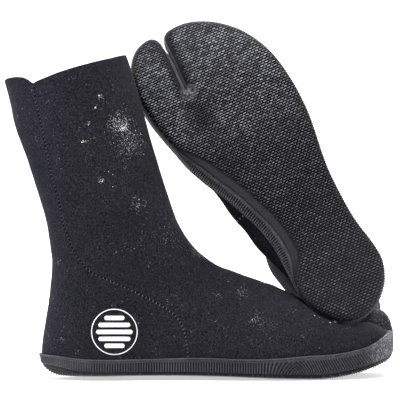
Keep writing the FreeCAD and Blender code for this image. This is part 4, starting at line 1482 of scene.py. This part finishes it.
for boot in ("right", "left"):
    foot, shaft = boot + "_foot", boot + "_shaft"
    for name, T in PANELS.items():
        S, F, loc = panel_shell(boot, T)
        o = piece(boot + "_" + name, S, F, boot, M_NEO, loc, 50.0)
        blend_ankle(o, boot)
        if name == "front_panel":
            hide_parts(boot + "_vamp", boot + "_ankle_flex_front", boot + "_shaft_front")
        else:
            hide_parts(boot + "_heel_cup", boot + "_ankle_flex_back", boot + "_shaft_back")
    V, T = CAP
    N = normals_of(upper_field, V)
    lift = 1.1 + 1.7 * ease((V[:, 0] - 262) / 14.0) - 1.5 * edge_round(cap_field(V), 1.0)
    W = V
    if boot == "right":
        W = onto(pressed_field, V, 6, 3.0)
        N = normals_of(pressed_field, W)
    D = (undulate(V) * ease((V[:, 2] - 14) / 10.0))[:, None]
    S, F = shell(W + N * (D + lift[:, None]), T, W + N * (D - 0.6))
    o = piece(boot + "_toe_cap", S, F, boot, M_CAP, np.vstack([V, V]), 60.0)
    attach(o, foot)
    # groove attribute: painted shade in the rib grooves, weaker at the heel
    o = piece(boot + "_rubber_wall", WALL[0], WALL[1], boot, M_RAND, None, 60.0, None, {"groove": WALL[2] * (0.45 + 0.55 * ease((WALL[0][:, 0] - 25) / 60.0))})
    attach(o, foot)
    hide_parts(boot + "_rand", boot + "_toe_split_rubber")
    tv = TREAD[0]
    band = (1 - ease((-d2(tv[:, 0], tv[:, 1]) - lug_depth(tv[:, 0], tv[:, 1]) + 1.6) / 1.8)) * (0.25 + 0.75 * weights(tv[:, 0], tv[:, 1])[1])
    band = np.maximum(band, 0.42 * (1 - ease((tv[:, 0] - 40) / 75.0)))
    o = piece(boot + "_tread_sheet", TREAD[0], TREAD[1], boot, M_SOLE, None, 45.0, None, {"plain": band})
    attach(o, foot)
    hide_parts(boot + "_outsole")
    o = piece(boot + "_tread_lugs", LUGS[0], LUGS[1], boot, M_LUG, None, 50.0, None, {"shade": LUGS[2]})
    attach(o, foot)
    o = piece(boot + "_footbed", FOOTBED[0], FOOTBED[1], boot, M_INSOLE)
    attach(o, foot)
    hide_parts(boot + "_insole")
    o = piece(boot + "_board", BOARD[0], BOARD[1], boot, M_NEO)
    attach(o, foot)
    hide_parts(boot + "_bottom_panel")
    o = piece(boot + "_seam_stitches", STITCH[0], STITCH[1], boot, M_THREAD)
    blend_ankle(o, boot)
    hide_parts(*[boot + "_" + a + "_stitching_" + b for a in ("foot", "shaft") for b in ("lateral", "medial")])
    o = piece(boot + "_seam_tapes", TAPE[0], TAPE[1], boot, M_TAPE)
    blend_ankle(o, boot)
    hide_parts(*[boot + "_" + a + "_tape_" + b for a in ("foot", "shaft") for b in ("lateral", "medial")])
    o = piece(boot + "_water_beads", BEADS[0], BEADS[1], boot, M_WATER, None, 80.0)
    blend_ankle(o, boot)
    if boot == "right":
        o = piece("right_water_glints", GLINTS[0], GLINTS[1], boot, M_GLINT, None, 80.0)
        blend_ankle(o, boot)
    o = piece(boot + "_round_print", PRINT[0], PRINT[1], boot, M_FILM)
    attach(o, foot)
    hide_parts(boot + "_heel_print")


# ------------------------------------------------------------------ stage, lights, camera
def stage_material(name, shade):
    n = Nodes(name)
    co = n.add("ShaderNodeTexCoord").outputs["Object"]
    f = n.noise(1.5, 2.0, 0.5, co)
    col = n.mix(n.ramp(f, 0.3, 0.7), (shade * 0.985,) * 3, (shade,) * 3)
    q = n.add("ShaderNodeSeparateXYZ")
    n.link(co, q.inputs[0])
    glow = n.ramp(q.outputs[1], 0.9, 2.2, 0.55, 1.06)
    return n.shader(Base_Color=col, Roughness=0.9, Specular_IOR_Level=0.1, Emission_Color=(1.0, 1.0, 1.0, 1.0), Emission_Strength=glow)


def sweep_floor():
    """A floor that turns up into a wall far behind."""
    R = 3.0
    y_back = 8.0
    prof = [(-40.0, 0.0), (y_back - R, 0.0)]
    prof += [(y_back - R + R * math.sin(a), R - R * math.cos(a)) for a in np.linspace(0, math.pi / 2, 25)[1:]]
    prof += [(y_back, 15.0)]
    xs = (-40.0, 40.0)
    V = [(x, y, z - 0.0004) for (y, z) in prof for x in xs]
    F = [(2 * i, 2 * i + 1, 2 * i + 3, 2 * i + 2) for i in range(len(prof) - 1)]
    me = bpy.data.meshes.new("studio_sweep")
    me.from_pydata(V, [], F)
    me.update()
    me.polygons.foreach_set("use_smooth", np.ones(len(me.polygons), bool))
    me.materials.append(stage_material("studio_white", 0.62))
    o = bpy.data.objects.new("studio_sweep", me)
    bpy.context.scene.collection.objects.link(o)


sweep_floor()


def area(name, loc, target, size, power, shape="RECTANGLE", size_y=None):
    l = bpy.data.lights.new(name, "AREA")
    l.shape = shape
    l.size = size
    if size_y:
        l.size_y = size_y
    l.energy = power
    o = bpy.data.objects.new(name, l)
    bpy.context.scene.collection.objects.link(o)
    o.location = loc
    from mathutils import Vector
    d = Vector(target) - Vector(loc)
    o.rotation_euler = d.to_track_quat("-Z", "Y").to_euler()
    return o


area("top_softbox", (0.25, -0.75, 1.9), (0, 0, 0.1), 0.9, 46, "RECTANGLE", 0.7)
area("left_softbox", (-1.7, -0.5, 0.8), (0, 0, 0.12), 0.9, 26, "RECTANGLE", 1.3)
area("right_softbox", (1.8, -0.8, 0.9), (0, 0, 0.12), 0.9, 12, "RECTANGLE", 1.3)
area("back_light", (0.0, 1.3, 1.6), (0, 2.6, 0.5), 2.6, 60, "RECTANGLE", 1.2)
area("floor_light", (0.0, 0.7, 1.6), (0, 0.5, 0.0), 2.6, 30, "RECTANGLE", 1.2)

w = bpy.data.worlds.new("studio_air")
bpy.context.scene.world = w
w.use_nodes = True
bg = w.node_tree.nodes["Background"]
bg.inputs[0].default_value = (1.0, 1.0, 1.0, 1.0)
bg.inputs[1].default_value = 0.42

cam = bpy.data.cameras.new("camera")
cam.sensor_width = 36.0
cam.sensor_fit = "HORIZONTAL"
cam.lens = 254.4
cam.clip_start, cam.clip_end = 0.05, 50.0
cam.dof.use_dof = False
co = bpy.data.objects.new("camera", cam)
bpy.context.scene.collection.objects.link(co)
co.location = ((130.2 + SHIFT[0]) / 1000.0, (-2300 + SHIFT[1]) / 1000.0, 0.1448)
co.rotation_euler = (math.radians(90), 0, 0)
bpy.context.scene.camera = co
bpy.context.scene.view_settings.view_transform = "Standard"
